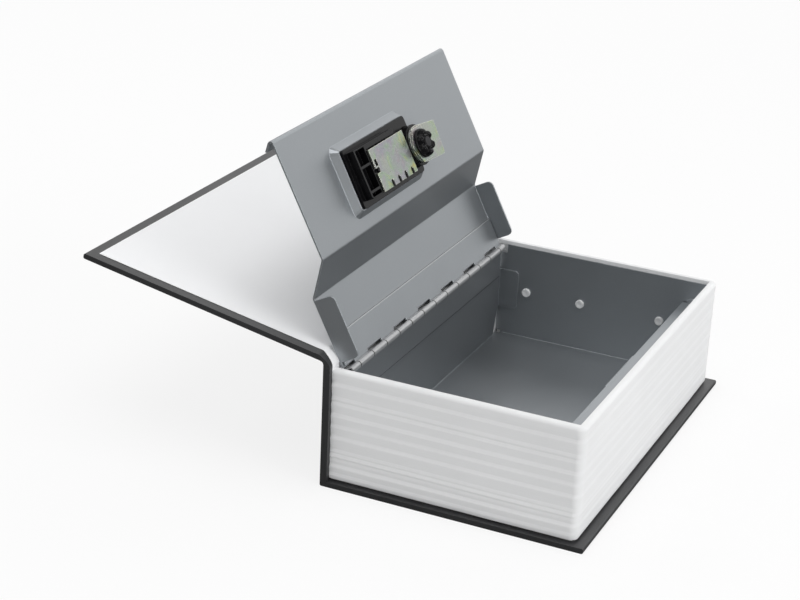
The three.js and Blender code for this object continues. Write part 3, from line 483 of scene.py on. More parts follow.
def page_plastic(name, colour):
    """White moulded plastic, satin, a little duller in some places."""
    made, tree, shader = finish(name, colour, 0.55, specular=0.12)
    slow = noise(tree, 30, 3)
    grain = noise(tree, 1500, 3, 0.6, stretch=(PAGE_GRAIN, PAGE_GRAIN, 1))
    vary(tree, shader, stretched(tree, slow), colour, -0.015, 0.01)
    vary_gloss(tree, shader, slow, 0.52, 0.60)
    bump(tree, shader, grain, 0.05 * MM, 0.8)
    return made


PAINT_ROUGHNESS = 0.38
PAINT_METALLIC = 0.8


def painted_steel(name, colour):
    """Grey paint with metal flake: a faint orange-peel surface, fine specks, slow changes of gloss."""
    made, tree, shader = finish(name, colour, PAINT_ROUGHNESS, PAINT_METALLIC)
    slow = noise(tree, 25, 3)
    peel = noise(tree, 620, 2, 0.4)
    speck = noise(tree, 2600, 2, 0.5)
    tone = blend_colours(tree, stretched(tree, slow), tint(colour, -0.03), tint(colour, 0.03))
    flecks = blend_colours(tree, spread(tree, speck, 0.55, 0.8, 0, 0.2), tone, tint(colour, 0.4))
    # Sharp edges painted lighter: partly worn paint, partly a painted highlight.
    edges = blend_colours(tree, edge_share(tree, 0.22 * MM), flecks, tint(colour, 1.0))
    tree.links.new(edges, shader.inputs["Base Color"])
    vary_gloss(tree, shader, slow, PAINT_ROUGHNESS - 0.04, PAINT_ROUGHNESS + 0.04)
    under = bump(tree, shader, peel, 0.012 * MM, 0.5, soft_edges(tree, 0.25 * MM))
    bump(tree, shader, speck, 0.004 * MM, 0.5, under)
    return made


# The hinge: its barrel, its knuckles along Y from the leaf's end, the leaf's free edge from its axis
KNUCKLE_RADIUS = 1.5 * MM
KNUCKLE_PITCH = 12.4 * MM
FIRST_KNUCKLE = 7.22 * MM
LEAF_EDGE = 14.75 * MM
# Reach of the bare steel over the knuckles' radius, half widths of the painted shade in the gaps between
# them
WORN_REACH = (1.05, 1.2)
KNUCKLE_GAP_SHADE = (0.2 * MM, 0.42 * MM)
BARE_ROUGHNESS = 0.34
BARE_METALLIC = 0.55


def hinge_finish(name, colour, bare, painted_edge_line):
    """The same paint on a hinge's leaf, worn to bare steel on the barrel, painted shade where knuckles
    meet.
    """
    made = painted_steel(name, colour)
    tree = made.node_tree
    shader = tree.nodes["Principled BSDF"]
    where = node(tree, "ShaderNodeTexCoord").outputs["Object"]
    axis = JOINT_PLACES["lid_hinge"]
    from_axis = node(tree, "ShaderNodeMapping", {
        "Vector": where, "Location": (-axis[0], 0, -axis[2]), "Scale": (1, 0, 1),
    }).outputs["Vector"]
    distance = node(tree, "ShaderNodeVectorMath", {0: from_axis}, operation="LENGTH").outputs["Value"]
    worn = spread(tree, distance, *(KNUCKLE_RADIUS * reach for reach in WORN_REACH), 1, 0)
    first_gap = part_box("hinge_box_leaf")[0][1] + FIRST_KNUCKLE
    y = node(tree, "ShaderNodeSeparateXYZ", {0: where}).outputs["Y"]
    from_first = node(tree, "ShaderNodeMath", {0: y, 1: first_gap}, operation="SUBTRACT").outputs[0]
    from_gap = node(
        tree, "ShaderNodeMath", {0: from_first, 1: KNUCKLE_PITCH / 2}, operation="PINGPONG").outputs[0]
    gap_shade = spread(tree, from_gap, *KNUCKLE_GAP_SHADE, 1, 0)
    paint = shader.inputs["Base Color"].links[0].from_socket
    lines = noise(tree, 1500, 3, stretch=(1, WORN_GRAIN, 1))
    metal = blend_colours(tree, lines, tint(bare, -0.15), tint(bare, 0.15))
    # Painted shade: the bare steel goes nearly black in the gaps between the knuckles.
    metal = blend_colours(tree, gap_shade, metal, tint(bare, -0.93))
    # Painted line along the leaf's free edge: a highlight on the lid's leaf, a shadow on the box's.
    edge = spread(tree, distance, LEAF_EDGE, LEAF_EDGE + 0.1 * MM, 0, 1)
    paint = blend_colours(tree, edge, paint, painted_edge_line)
    tree.links.new(blend_colours(tree, worn, paint, metal), shader.inputs["Base Color"])
    for key, painted, steel in (
        ("Metallic", PAINT_METALLIC, BARE_METALLIC), ("Roughness", PAINT_ROUGHNESS, BARE_ROUGHNESS),
    ):
        tree.links.new(spread(tree, worn, 0, 1, painted, steel), shader.inputs[key])
    return made


def drawn_steel(name, colour, roughness, metallic):
    """Steel with fine lines along Y, brighter where it is worn."""
    made, tree, shader = finish(name, colour, roughness, metallic)
    lines = noise(tree, 2400, 3, 0.6, stretch=(1, DRAWN_GRAIN, 1))
    wear = noise(tree, 160, 3)
    vary(tree, shader, spread(tree, wear, 0.4, 0.65, 0, 1), colour, -0.12, 0.2)
    vary_gloss(tree, shader, wear, roughness + 0.1, roughness - 0.06)
    bump(tree, shader, lines, 0.015 * MM, 0.5)
    return made


PLASTIC_IOR = 1.26


def black_plastic(name, colour, roughness):
    """Black moulded plastic, semi-gloss, with a fine mould texture."""
    made, tree, shader = finish(name, colour, roughness)
    shader.inputs["IOR"].default_value = PLASTIC_IOR
    slow = noise(tree, 120, 3)
    fine = noise(tree, 2200, 2)
    vary(tree, shader, stretched(tree, slow), colour, -0.2, 0.5)
    vary_gloss(tree, shader, slow, roughness - 0.06, roughness + 0.08)
    bump(tree, shader, fine, 0.008 * MM, 0.5, soft_edges(tree, 0.3 * MM))
    return made


# Places on the film's noise and its colours there
ZINC_FILM = ((0.30, (0.44, 0.43, 0.17)), (0.42, (0.27, 0.36, 0.28)), (0.50, (0.32, 0.34, 0.34)),
             (0.58, (0.31, 0.30, 0.35)), (0.70, (0.37, 0.29, 0.34)))


def zinc_finish(name, colour):
    """Zinc plating whose thin film runs from yellow-green over grey to pink."""
    made, tree, shader = finish(name, colour, 0.3, 0.85)
    film = noise(tree, 110, 3, 0.55, distortion=0.8)
    cloud = noise(tree, 60, 2)
    fine = noise(tree, 900, 3, 0.6)
    ramp = node(tree, "ShaderNodeValToRGB", {"Fac": film})
    stops = ramp.color_ramp.elements
    stops.remove(stops[1])
    stops[0].position, stops[0].color = ZINC_FILM[0][0], (*ZINC_FILM[0][1], 1)
    for position, shade in ZINC_FILM[1:]:
        stops.new(position).color = (*shade, 1)
    tone = blend_colours(
        tree, spread(tree, cloud, 0.35, 0.6, 0.45, 0.95), colour, ramp.outputs["Color"])
    # Painted highlight: the plate's sharp edges are painted much lighter.
    edges = blend_colours(tree, edge_share(tree, 0.3 * MM), tone, tint(colour, 1.5))
    tree.links.new(edges, shader.inputs["Base Color"])
    vary_gloss(tree, shader, fine, 0.22, 0.42)
    bump(tree, shader, fine, 0.012 * MM, 0.5, soft_edges(tree, 0.15 * MM))
    return made


def number_paint(name, colour):
    """White paint pressed into the dials, slightly uneven."""
    made, tree, shader = finish(name, colour, 0.5)
    uneven = noise(tree, 900, 2)
    vary(tree, shader, stretched(tree, uneven), colour, -0.1, 0.0)
    bump(tree, shader, uneven, 0.01 * MM, 0.5)
    return made


# Page block

# Heights over the table and insets of the gathered page edges, in millimetres
PAGE_EDGE = np.array([
    (2.3, 1.2), (3.1, 1.2), (3.2, 0.3), (5.0, 0.10), (6.5, 0.24), (8.8, 0.04), (10.4, 0.36),
    (11.6, 0.22), (13.0, 0.28), (13.6, 0.08), (15.2, 0.36), (15.7, 0.26), (17.2, 0.42),
    (21.6, 0.06), (23.2, 0.38), (26.8, 0.08), (28.4, 0.36), (31.6, 0.03), (33.4, 0.38),
    (36.8, 0.06), (38.4, 0.34), (39.2, 0.18), (40.8, 0.38), (45.2, 0.02), (46.9, 0.36),
    (48.9, 0.10), (50.3, 0.0),
])
PAGE_STEP = 0.05
AVERAGED_STEPS = 11
# Slow waves of the page lines along the path: height, length over 2 pi, phase
DRIFT = ((0.16 * MM, 31 * MM, 0.0), (0.08 * MM, 13 * MM, 1.3))
# Fine lines: share, height over 2 pi, swing along the path, the swing's length over 2 pi, its phase
RIPPLES = ((1.0, 0.17 * MM, 2, 47 * MM, 0.0), (0.7, 0.11 * MM, 3, 29 * MM, 0.7))
# Insets over this belong to the undercut at the block's foot, not to its pages
UNDERCUT = 1.0 * MM
COLUMNS_PER_SIDE = 60
CORNER_STEPS = 12
RIDGE_ROWS = 230
LIP_ROUNDING = 0.25 * MM
SPINE_WALL_ROUNDING = 0.5 * MM
SPINE_WALL_COLUMNS = 25


def ridge_inset(z, s, sizes):
    """How far the page edge lies behind the outer plane at height z and distance s on the path.

    The inset runs straight between the heights of PAGE_EDGE and is then averaged over a short
    reach. The height drifts slowly along the path, h = z + the sum of a sin(s / b + c), and fine
    ripples, the sum of e sin(h / f + g sin(s / k + m)), are added.
    """
    steps = np.arange(PAGE_EDGE[0, 0], PAGE_EDGE[-1, 0], PAGE_STEP)
    kernel = np.hanning(AVERAGED_STEPS)
    kernel /= kernel.sum()
    relief = np.interp(steps, PAGE_EDGE[:, 0], PAGE_EDGE[:, 1])
    relief = np.convolve(np.pad(relief, AVERAGED_STEPS // 2, mode="edge"), kernel, mode="valid")
    height = z + sum(high * np.sin(s / length + phase) for high, length, phase in DRIFT)
    inset = np.interp((height / MM).ravel(), steps, relief).reshape(height.shape) * MM
    ripple = sum(
        share * np.sin(height / fine + swing * np.sin(s / length + phase))
        for share, fine, swing, length, phase in RIPPLES
    ) / sum(share for share, *_ in RIPPLES)
    return sizes.ridge_scale * inset + sizes.ripple_depth * (1 + ripple) / 2


def block_path(sizes):
    """Path round the block's tail, fore edge and head: feet, outward directions, factors, distances.

    A foot is the outer point less the corner radius along the outward direction, so a point at
    inset d lies at foot + (radius - d) * direction, and at a corner the directions fan out.
    A factor lengthens a direction as far as a square corner. Distances run along the outer line.
    """
    radius = sizes.corner_radius
    back, front, half = SHELL_LOW[0], SHELL_HIGH[0], SHELL_HIGH[1]
    along = np.linspace(back, front - radius, COLUMNS_PER_SIDE)
    across = np.linspace(-half + radius, half - radius, COLUMNS_PER_SIDE * 3 // 2)
    turn = np.radians(np.linspace(-90, 0, CORNER_STEPS + 1)[1:-1])
    tail = np.stack([along, np.full_like(along, -half + radius)], -1)
    fore = np.stack([np.full_like(across, front - radius), across], -1)
    head = tail[::-1] * [1, -1]
    corner_tail = tail[-1:].repeat(len(turn), axis=0)
    corner_head = head[:1].repeat(len(turn), axis=0)
    feet = np.vstack([tail, corner_tail, fore, corner_head, head])
    fan = np.stack([np.cos(turn), np.sin(turn)], -1)
    outward = np.vstack([
        np.broadcast_to([0, -1], tail.shape), fan, np.broadcast_to([1, 0], fore.shape),
        (fan * [1, -1])[::-1], np.broadcast_to([0, 1], head.shape),
    ])
    square = 1 / np.abs(outward).max(1)
    outer = feet + radius * outward
    steps = np.linalg.norm(np.diff(outer, axis=0), axis=1)
    return feet, outward, square, np.concatenate([[0], np.cumsum(steps)])


def page_block(sizes):
    """Page block: a closed wall section carried round the path, with ridges on its outer side.

    A section's point at inset d and height z goes to (foot + (radius - d) * direction, z). The
    inner wall's two points are carried round square corners, the others round the fans.
    """
    feet, outward, square, s = block_path(sizes)
    low, high = SHELL_LOW[2], SHELL_HIGH[2]
    ridge_top = high - sizes.rim_height
    z_ridges = np.linspace(low, ridge_top, RIDGE_ROWS)
    ridges = ridge_inset(z_ridges[:, None], s, sizes)
    ridges = ridges * (1 - sizes.fore_smoothness * np.maximum(outward[:, 0], 0) * (ridges < UNDERCUT))
    r = sizes.rim_radius
    lip = sizes.wall + sizes.lip
    rim = np.vstack([
        arc((r, high - r), r, 180, 90, 8),
        arc((lip - LIP_ROUNDING, high - LIP_ROUNDING), LIP_ROUNDING, 90, 0, 4),
        [[lip, high - sizes.lip_thickness]],
        [[sizes.wall, high - sizes.lip_thickness], [sizes.wall, low]],
    ])
    inset = np.vstack([ridges, np.broadcast_to(rim[:, :1], (len(rim), len(s)))])
    height = np.concatenate([z_ridges, rim[:, 1]])
    factor = np.ones_like(inset)
    factor[-2:] = square
    away = (sizes.corner_radius - inset) * factor
    points = np.empty((len(height), len(s), 3))
    points[..., :2] = feet + away[..., None] * outward
    points[..., 2] = height[:, None]
    return surface("page_block", points[::-1], wrap_rows=True, caps=True)


def spine_wall(sizes):
    """Low wall of the block at the spine: a section with round upper edges carried along Y."""
    back, wall = SHELL_LOW[0], sizes.wall
    low, high = SHELL_LOW[2], SHELL_HIGH[2] - sizes.spine_wall_drop
    r = SPINE_WALL_ROUNDING
    section = np.vstack([
        [[back, low]], arc((back + r, high - r), r, 180, 90, 4),
        arc((back + wall - r, high - r), r, 90, 0, 4), [[back + wall, low]],
    ])
    half_lengths = np.full(len(section), SHELL_HIGH[1] - wall)
    return carried_along("page_block_spine_wall", section, half_lengths, SPINE_WALL_COLUMNS, CREASE)


# Pegs: places along the block, height over the table, steel under the heads, depth of the shanks
PEG_SHARES = (0.155, 0.407, 0.770)
PEG_Z = 27.9 * MM
PEG_SEAT = 0.9 * MM
PEG_FOOT = 0.95 * MM
PEG_ROUNDING = 0.45 * MM
SHANK_SHARE = 0.72
# Dish in a peg's head: shares of the head's radius and height
PEG_DISH = ((0.62, 0.97), (0.4, 0.86), (0.05, 0.82))


def peg(name, share, side, sizes):
    """Peg head: a button with a round edge and a shallow dish, a profile turned round Y.

    A profile's point at radius r and height h goes to (x + r cos a, side (inner - h), z + r sin a).
    """
    radius, height = sizes.peg_radius, sizes.peg_height
    inner = SHELL_HIGH[1] - sizes.wall - PEG_SEAT
    edge = PEG_ROUNDING
    shank = radius * SHANK_SHARE
    profile = np.vstack([
        [[shank, -PEG_FOOT], [shank, 0], [radius, 0]],
        arc((radius - edge, height - edge), edge, 0, 90, 5),
        np.multiply(PEG_DISH, (radius, height)),
    ])
    turn = np.linspace(0, 2 * np.pi, 33)[:-1]
    x = SHELL_LOW[0] + share * (SHELL_HIGH[0] - SHELL_LOW[0])
    points = np.empty((len(turn), len(profile), 3))
    points[..., 0] = x + np.cos(turn)[:, None] * side * profile[:, 0]
    points[..., 1] = side * (inner - profile[:, 1])
    points[..., 2] = PEG_Z + np.sin(turn)[:, None] * profile[:, 0]
    return surface(name, points, wrap_rows=True, caps=True)


class BOOKBOX_OT_page_block(bpy.types.Operator):
    """Makes the ridged page block, its wall at the spine and its pegs."""

    bl_idname = "bookbox.page_block"
    bl_label = "Page Block"

    def execute(self, context):
        sizes = settings().pages
        plastic = page_plastic("page plastic", settings().colours.pages)
        made = [page_block(sizes), spine_wall(sizes)]
        made += [
            peg(f"box_peg_{number + 1}_{end}", share, side, sizes)
            for number, share in enumerate(PEG_SHARES) for end, side in (("tail", -1), ("head", 1))
        ]
        for each in made:
            give(each, plastic)
            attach(each, "root")
        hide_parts("page_shell")
        return {"FINISHED"}


# Covers and joint

class BOOKBOX_OT_covers(bpy.types.Operator):
    """Gives the boards, cloth and endpapers their finishes."""

    bl_idname = "bookbox.covers"
    bl_label = "Covers"

    def execute(self, context):
        colours = settings().colours
        dress(cloth_finish("book cloth", colours.cloth), "case_cloth", "front_cloth")
        dress(board_finish("binder's board", colours.board), "back_board", "spine_board", "front_board")
        dress(paper_finish("endpaper", colours.paper), "spine_lining", "front_endpaper")
        return {"FINISHED"}


# Directions in x and z: along the front cover at rest, and of the bend at the spine
COVER_ALONG = np.array([-0.98261, 0.18567])
BEND_ALONG = np.array([-0.5, 0.866])
# Where the bend at the spine ends, and how far before the joint's foot it begins
BEND_LENGTH = 2.8 * MM
BEND_LEAD = 0.6 * MM
# Depth by which pieces lie in or under each other, so that no two faces coincide
SKIN = 0.03 * MM
# Pull of the joint's curve towards its corner, its points, shares where its thickness changes
PULL = 0.92
CURVE_POINTS = 81
NARROWED_SHARE = 0.5
WIDENING_SHARE = 0.6
# Share of the curve beyond which the cloth lies flush on the cover
FLUSH_SHARE = 0.98
LINING_DROP = 1.5 * MM
JOINT_COLUMNS = 9


def smooth_step(share):
    """Share held between 0 and 1 that starts and ends without a slope, 3 s^2 - 2 s^3."""
    share = np.clip(share, 0, 1)
    return share * share * (3 - 2 * share)


def joint_lines(sizes):
    """Outer line, inward directions and thicknesses of the joint's section at rest, in x and z.

    The outer line is a cubic curve that leaves the spine upwards and reaches the cover along its
    own direction. The thickness narrows by a smooth step from the spine's to the cloth's, and
    widens again to the cover's edge.
    """
    end = JOINT_PLACES["cover_fold"][[0, 2]]
    start = np.array([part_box("case_cloth")[0][0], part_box("spine_lining")[1][2]])
    corner = end - COVER_ALONG * (end[0] - start[0]) / COVER_ALONG[0]
    t = np.linspace(0, 1, CURVE_POINTS)[:, None]
    first, second = start + PULL * (corner - start), end + PULL * (corner - end)
    outer = ((1 - t) ** 3 * start + 3 * (1 - t) ** 2 * t * first
             + 3 * (1 - t) * t ** 2 * second + t ** 3 * end)
    heading = np.gradient(outer, axis=0)
    heading /= np.linalg.norm(heading, axis=1)[:, None]
    inward = np.stack([heading[:, 1], -heading[:, 0]], -1)
    inward[0], inward[-1] = (1, 0), (COVER_ALONG[1], -COVER_ALONG[0])
    near = smooth_step(1 - t / NARROWED_SHARE)
    far = smooth_step((t - WIDENING_SHARE) / (1 - WIDENING_SHARE))
    thin = sizes.joint_thickness
    thickness = thin + (sizes.spine_thickness - thin) * near + (sizes.edge_thickness - thin) * far
    return outer, inward, thickness


class BOOKBOX_OT_joint(bpy.types.Operator):
    """Makes the cloth joint between spine and front cover, with its paper lining."""

    bl_idname = "bookbox.joint"
    bl_label = "Cloth Joint"

    def execute(self, context):
        sizes = settings().cover
        outer, inward, thickness = joint_lines(sizes)
        foot, fold = outer[0], outer[-1]
        split = int(np.argmax((outer - foot) @ BEND_ALONG > BEND_LENGTH))
        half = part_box("case_cloth")[1][1]
        share = np.append(np.linspace(0, 1, len(outer)), 1)
        margin = sizes.spine_margin + (sizes.cover_margin - sizes.spine_margin) * share
        lap = COVER_ALONG * sizes.edge_lap
        outer, inward, thickness = (np.vstack([each, each[-1:]]) for each in (outer, inward, thickness))
        outer[-1] += lap
        inner = outer + inward * thickness
        outer = outer - inward * SKIN * (share > FLUSH_SHARE)[:, None]
        paper_foot = inner - SKIN * inward
        paper_top = inner + sizes.lining_thickness * inward
        paper_foot[0, 1] = paper_top[0, 1] = SHELL_HIGH[2] - LINING_DROP
        whole = np.full(len(outer), half - SKIN)
        bends = (
            ("root", "joint_strip", slice(0, split + 1),
             foot - BEND_LEAD * BEND_ALONG, foot + BEND_LENGTH * BEND_ALONG),
            ("joint_strip", "front_cover", slice(split, None), outer[split], fold),
        )
        cloth = bpy.data.materials["book cloth"]
        paper = bpy.data.materials["endpaper"]
        for number, (first, second, part, start, end) in enumerate(bends):
            for name, low, high, length, colour, slot in (
                ("joint_cloth_roll", outer, inner, whole, cloth, "cover_cloth"),
                ("joint_paper", paper_foot, paper_top, half - margin, paper, "white_paper"),
            ):
                section = np.vstack([low[part], high[part][::-1]])
                lengths = np.append(length[part], length[part][::-1])
                each = carried_along(
                    f"{name}_{number + 1}", section, lengths, JOINT_COLUMNS, JOINT_CREASE)
                give(each, colour)
                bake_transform(each)
        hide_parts("joint_cloth")
        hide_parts("joint_lining")
        return {"FINISHED"}


# Steel parts

class BOOKBOX_OT_steel(bpy.types.Operator):
    """Gives the steel box, its keeper, the lid and the hinge their finishes."""

    bl_idname = "bookbox.steel"
    bl_label = "Steel Parts"

    def execute(self, context):
        colours = settings().colours
        dress(painted_steel("grey paint", colours.steel), "steel_box", "keeper", "lid_panel")
        # Painted lines along the leaves' free edges: a shadow on the box's leaf, a highlight on the
        # lid's.
        for side, edge in (("box", tint(colours.dark, -0.6)), ("lid", tint(colours.bright, 0.35))):
            worn = hinge_finish(f"{side} hinge paint", colours.steel, colours.bright, edge)
            dress(worn, f"hinge_{side}_leaf")
        dress(drawn_steel("bright steel", colours.bright, 0.26, 0.95), "dial_axle", "detent_spring")
        # Painted shade: the pin and the spindle are dark so the knuckle gaps and the nut's hole look
        # dark.
        dress(drawn_steel("dark steel", colours.dark, 0.34, 0.8), "hinge_pin", "spindle")
        return {"FINISHED"}


# Lock

# Directions of the lid at rest: up its plane, out of its outer side, along the hinge
LID_UP = np.array([-0.46639, 0.0, 0.88458])
LID_OUT = np.array([-0.88458, 0.0, -0.46639])
ALONG = np.array([0.0, 1.0, 0.0])
DIALS = 3
DIGIT_CURVE_STEPS = 4
STEPS_PER_LOBE = 16


def digit_mesh(digit, height, thickness):
    """Corners and faces of one number, centred, upright in X and Y, with its foot at zero in Z."""
    curve = bpy.data.curves.new("digit", "FONT")
    curve.body = str(digit)
    curve.align_x = "CENTER"
    curve.resolution_u = DIGIT_CURVE_STEPS
    curve.extrude = thickness / 2
    made = in_scene("digit", curve)
    bpy.context.view_layer.update()
    mesh = bpy.data.meshes.new_from_object(made.evaluated_get(bpy.context.evaluated_depsgraph_get()))
    corners = np.array([each.co for each in mesh.vertices])
    faces = [list(each.vertices) for each in mesh.polygons]
    bpy.data.objects.remove(made)
    bpy.data.curves.remove(curve)
    bpy.data.meshes.remove(mesh)
    low, high = corners.min(0), corners.max(0)
    corners[:, :2] = (corners[:, :2] - (low + high)[:2] / 2) * height / (high - low)[1]
    corners[:, 2] += thickness / 2
    return corners, faces


def dial_numbers(name, centre, digits, sizes):
    """Numbers on a dial's lands: each is turned round the dial's axis and reads along Y.

    A number's point (a, b, c) goes to centre + a Y + b t + (r + c) d, where d is the land's
    outward direction at angle p, d = U cos p + W sin p, and t = W cos p - U sin p.
    """
    corners, faces, count = [], [], 0
    for number, (shape, cells) in enumerate(digits):
        angle = (number + 0.5) * 2 * math.pi / len(digits)
        out = math.cos(angle) * LID_UP + math.sin(angle) * LID_OUT
        up = math.cos(angle) * LID_OUT - math.sin(angle) * LID_UP
        away = sizes.land_height - sizes.paint_thickness / 2 + shape[:, 2:]
        corners.append(centre + shape[:, :1] * ALONG + shape[:, 1:2] * up + away * out)
        faces += [[corner + count for corner in cell] for cell in cells]
        count += len(shape)
    return piece(name, np.vstack(corners), faces)


def cam_nut(sizes):
    """Lobed nut: a closed profile turned round the knob's axis.

    With v = ((1 - cos n a) / 2)^2 for n lobes the radius at angle a is r - k d v and the height is
    h - m g v: k is the notches' share from foot to hole, m that of the valleys of depth g on top.
    A row of the profile holds r, h, k and m.
    """
    centre = JOINT_PLACES["knob_turn"] - LID_OUT * sizes.seat
    r, hole, high = sizes.radius, sizes.hole_radius, sizes.height
    profile = np.array([
        (hole, 0, 0, 0), (r - 0.2 * MM, 0, 0, 0), (r, 0.2 * MM, 0, 0), (r, 0.7 * MM, 0, 0),
        (r - 0.15 * MM, 0.9 * MM, 0.1, 0), (r - 0.25 * MM, 0.95 * MM, 1, 0),
        (r - 0.3 * MM, 1.6 * MM, 1, 0.1), (r - 0.4 * MM, 2.1 * MM, 1, 0.3),
        (r - 0.7 * MM, 2.7 * MM, 0.95, 0.6), (r - 1.15 * MM, high - 0.25 * MM, 0.85, 0.85),
        (r - 1.7 * MM, high, 0.7, 1), (r - 2.25 * MM, high - 0.1 * MM, 0.45, 1),
        (r - 2.75 * MM, high - 0.45 * MM, 0.2, 0.8), (hole + 0.95 * MM, high - 0.85 * MM, 0.1, 0.45),
        (hole + 0.6 * MM, high - 0.8 * MM, 0, 0.2), (hole + 0.4 * MM, high - 0.35 * MM, 0, 0),
        (hole + 0.15 * MM, high - 0.3 * MM, 0, 0), (hole, high - 0.5 * MM, 0, 0),
    ])
    turn = np.linspace(0, 2 * np.pi, STEPS_PER_LOBE * sizes.lobes + 1)[:-1]
    between = ((1 - np.cos(sizes.lobes * turn)) / 2) ** 2
    radius = profile[:, :1] - profile[:, 2:3] * sizes.lobe_depth * between
    rise = profile[:, 1:2] - profile[:, 3:] * sizes.valley_depth * between
    points = (
        centre + radius[..., None] * (np.cos(turn)[:, None] * LID_UP + np.sin(turn)[:, None] * ALONG)
        - rise[..., None] * LID_OUT
    )
    return surface("cam_lobed_nut", points, wrap_rows=True, wrap_columns=True, crease=NUT_CREASE)


class BOOKBOX_OT_lock(bpy.types.Operator):
    """Gives the lock's parts their finishes, and makes the dials' numbers and the cam's nut."""

    bl_idname = "bookbox.lock"
    bl_label = "Lock"

    def execute(self, context):
        colours = settings().colours
        black = black_plastic("black plastic", colours.black, 0.2)
        satin = black_plastic("dial plastic", tint(colours.black, 2.0), 0.45)
        zinc = zinc_finish("zinc plating", colours.zinc)
        paint = number_paint("number paint", colours.digits)
        dress(black, "lock_body", "lock_barrel", "lock_bezel", "knob")
        dress(zinc, "lock_cover_plate", "cam_plate", "cam_washer")
        nut = cam_nut(settings().nut)
        give(nut, black)
        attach(nut, "knob_and_cam")
        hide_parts("cam_nut")
        sizes = settings().dials
        digits = [
            digit_mesh(digit, sizes.digit_height, sizes.paint_thickness) for digit in range(sizes.digits)
        ]
        for number in range(1, DIALS + 1):
            dress(satin, f"dial_{number}")
            dress(zinc, f"dial_sleeve_{number}")
            centre = JOINT_PLACES[f"dial_turn_{number}"]
            made = dial_numbers(f"dial_{number}_numbers", centre, digits, sizes)
            give(made, paint)
            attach(made, f"number_dial_{number}")
        return {"FINISHED"}


# Stage

# Name, place, width and height, power
LAMPS = (
    ("right window", (1.2, -0.15, 0.5), (0.9, 0.8), 7.8),
    ("front window", (-0.15, -1.3, 0.72), (0.9, 0.7), 3.1),
    ("left window", (-1.1, 0.1, 0.75), (0.8, 0.8), 4.6),
    ("back wall", (0.15, 1.4, 0.36), (2.6, 0.70), 4.3),
    ("back window", (0.05, 1.3, 1.10), (2.2, 0.75), 5.6),
    ("ceiling light", (0.05, -0.15, 1.5), (1.2, 1.2), 9.4),
)
AIM = (0.0, 0.0, 0.05)
WORLD_LIGHT = 0.28
FLOOR_SPAN = 6.0
FLOOR_DROP = 0.02 * MM
# What the floor sends back as stray light and as mirror image, and its own white for the camera
FLOOR_BOUNCE = (0.74, 0.74, 0.74)
FLOOR_MIRRORED = (0.16, 0.16, 0.16)
FLOOR_GLOW = 0.82
WHITE = (1, 1, 1, 1)
# The photo's camera: place, backward and sideways directions, roll, sensor and lens in millimetres
CAMERA_PLACE = Vector((0.2591, -0.7269, 0.3790))
CAMERA_BACK = Vector((0.36714, -0.84353, 0.39202)).normalized()
CAMERA_RIGHT = Vector((0.91692, 0.39908, 0.0)).normalized()
CAMERA_ROLL = math.radians(2.91)
SENSOR_WIDTH = 36
LENS = 87.93
LENS_SHIFT = (-0.0201, 0.0238)
CLIP_START = 0.01


def photo_camera():
    """Camera at the photo's place that looks along minus its back and is rolled about that axis."""
    data = bpy.data.cameras.new("photo camera")
    data.sensor_width = SENSOR_WIDTH
    data.lens = LENS
    data.shift_x, data.shift_y = LENS_SHIFT
    data.clip_start = CLIP_START
    camera = in_scene("photo camera", data)
    up = CAMERA_BACK.cross(CAMERA_RIGHT)
    across = CAMERA_RIGHT * math.cos(CAMERA_ROLL) + up * math.sin(CAMERA_ROLL)
    upward = up * math.cos(CAMERA_ROLL) - CAMERA_RIGHT * math.sin(CAMERA_ROLL)
    turned = Matrix((across, upward, CAMERA_BACK)).transposed().to_4x4()
    camera.matrix_world = Matrix.Translation(CAMERA_PLACE) @ turned
    return camera


class BOOKBOX_OT_stage(bpy.types.Operator):
    """Makes the floor, the light and the camera."""

    bl_idname = "bookbox.stage"
    bl_label = "Stage"

    def execute(self, context):
        scene = context.scene
        steps = np.linspace(-FLOOR_SPAN, FLOOR_SPAN, 3)
        x, y = np.meshgrid(steps, steps)
        floor = surface("floor", np.stack([x, y, np.full_like(x, -FLOOR_DROP)], -1))
        give(floor, floor_material(settings().colours.floor))
        world_light(scene)
        for each in LAMPS:
            lamp(*each)
        scene.camera = photo_camera()
        scene.view_settings.view_transform = "Standard"
        return {"FINISHED"}


def lamp(name, place, size, power):
    """Area lamp that faces the book and that the camera doesn't see."""
    data = bpy.data.lights.new(name, "AREA")
    data.shape = "RECTANGLE"
    data.size, data.size_y = size
    data.energy = power
    made = in_scene(name, data)
    made.location = place
    made.rotation_euler = (Vector(AIM) - Vector(place)).to_track_quat("-Z", "Y").to_euler()
    made.visible_camera = False


def show_mixed(tree, share, first, second, output):
    """Sends two shaders, mixed by a share, to the tree's output."""
    mix = node(tree, "ShaderNodeMixShader", {"Fac": share, 1: first.outputs[0], 2: second.outputs[0]})
    tree.links.new(mix.outputs[0], tree.nodes[output].inputs["Surface"])


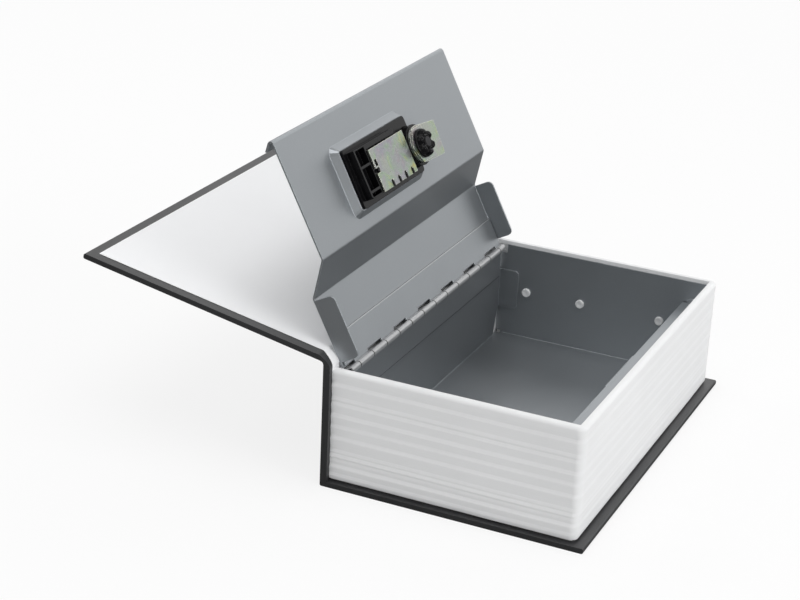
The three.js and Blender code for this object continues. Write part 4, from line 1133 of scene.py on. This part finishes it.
def floor_material(colour):
    """Pale floor that shows white to the camera, keeps the book's shadow and reflects less."""
    made, tree, shader = finish("pale floor", colour, 0.6, specular=0.2)
    rays = node(tree, "ShaderNodeLightPath").outputs
    seen = blend_colours(tree, rays["Is Camera Ray"], FLOOR_BOUNCE, colour)
    seen = blend_colours(tree, rays["Is Glossy Ray"], seen, FLOOR_MIRRORED)
    tree.links.new(seen, shader.inputs["Base Color"])
    share = spread(tree, rays["Is Camera Ray"], 0, 1, 0, FLOOR_GLOW)
    white = node(tree, "ShaderNodeEmission", {"Color": WHITE, "Strength": 1.0})
    show_mixed(tree, share, shader, white, "Material Output")
    return made


def world_light(scene):
    """Even studio light that the camera sees as white."""
    world = bpy.data.worlds.new("studio")
    scene.world = world
    world.use_nodes = True
    tree = world.node_tree
    seen = node(tree, "ShaderNodeLightPath").outputs["Is Camera Ray"]
    glow = tree.nodes["Background"]
    glow.inputs["Color"].default_value = WHITE
    glow.inputs["Strength"].default_value = WORLD_LIGHT
    white = node(tree, "ShaderNodeBackground", {"Color": WHITE, "Strength": 1.0})
    show_mixed(tree, seen, glow, white, "World Output")


class BOOKBOX_PT_panel(bpy.types.Panel):
    """Lists the book's pieces and finishes."""

    bl_idname = "BOOKBOX_PT_panel"
    bl_label = "Hollow Book Box"
    bl_space_type = "VIEW_3D"
    bl_region_type = "UI"
    bl_category = "Book Box"

    def draw(self, context):
        for group in ("pages", "cover", "dials", "nut", "colours"):
            box = self.layout.box()
            values = getattr(settings(), group)
            for key in values.__annotations__:
                box.prop(values, key)
        for operator in STEPS:
            self.layout.operator(operator.bl_idname)


STEPS = (
    BOOKBOX_OT_page_block, BOOKBOX_OT_covers, BOOKBOX_OT_joint, BOOKBOX_OT_steel, BOOKBOX_OT_lock,
    BOOKBOX_OT_stage,
)
CLASSES = (
    PageBlockSizes, CoverSizes, DialSizes, NutSizes, BookColours, BookSettings, *STEPS, BOOKBOX_PT_panel,
)


def register():
    for each in CLASSES:
        bpy.utils.register_class(each)
    bpy.types.Scene.book_box = PointerProperty(type=BookSettings)


def unregister():
    del bpy.types.Scene.book_box
    for each in reversed(CLASSES):
        bpy.utils.unregister_class(each)


def main():
    register()
    bpy.ops.bookbox.page_block()
    bpy.ops.bookbox.covers()
    bpy.ops.bookbox.joint()
    bpy.ops.bookbox.steel()
    bpy.ops.bookbox.lock()
    bpy.ops.bookbox.stage()


if __name__ == "__main__":
    main()
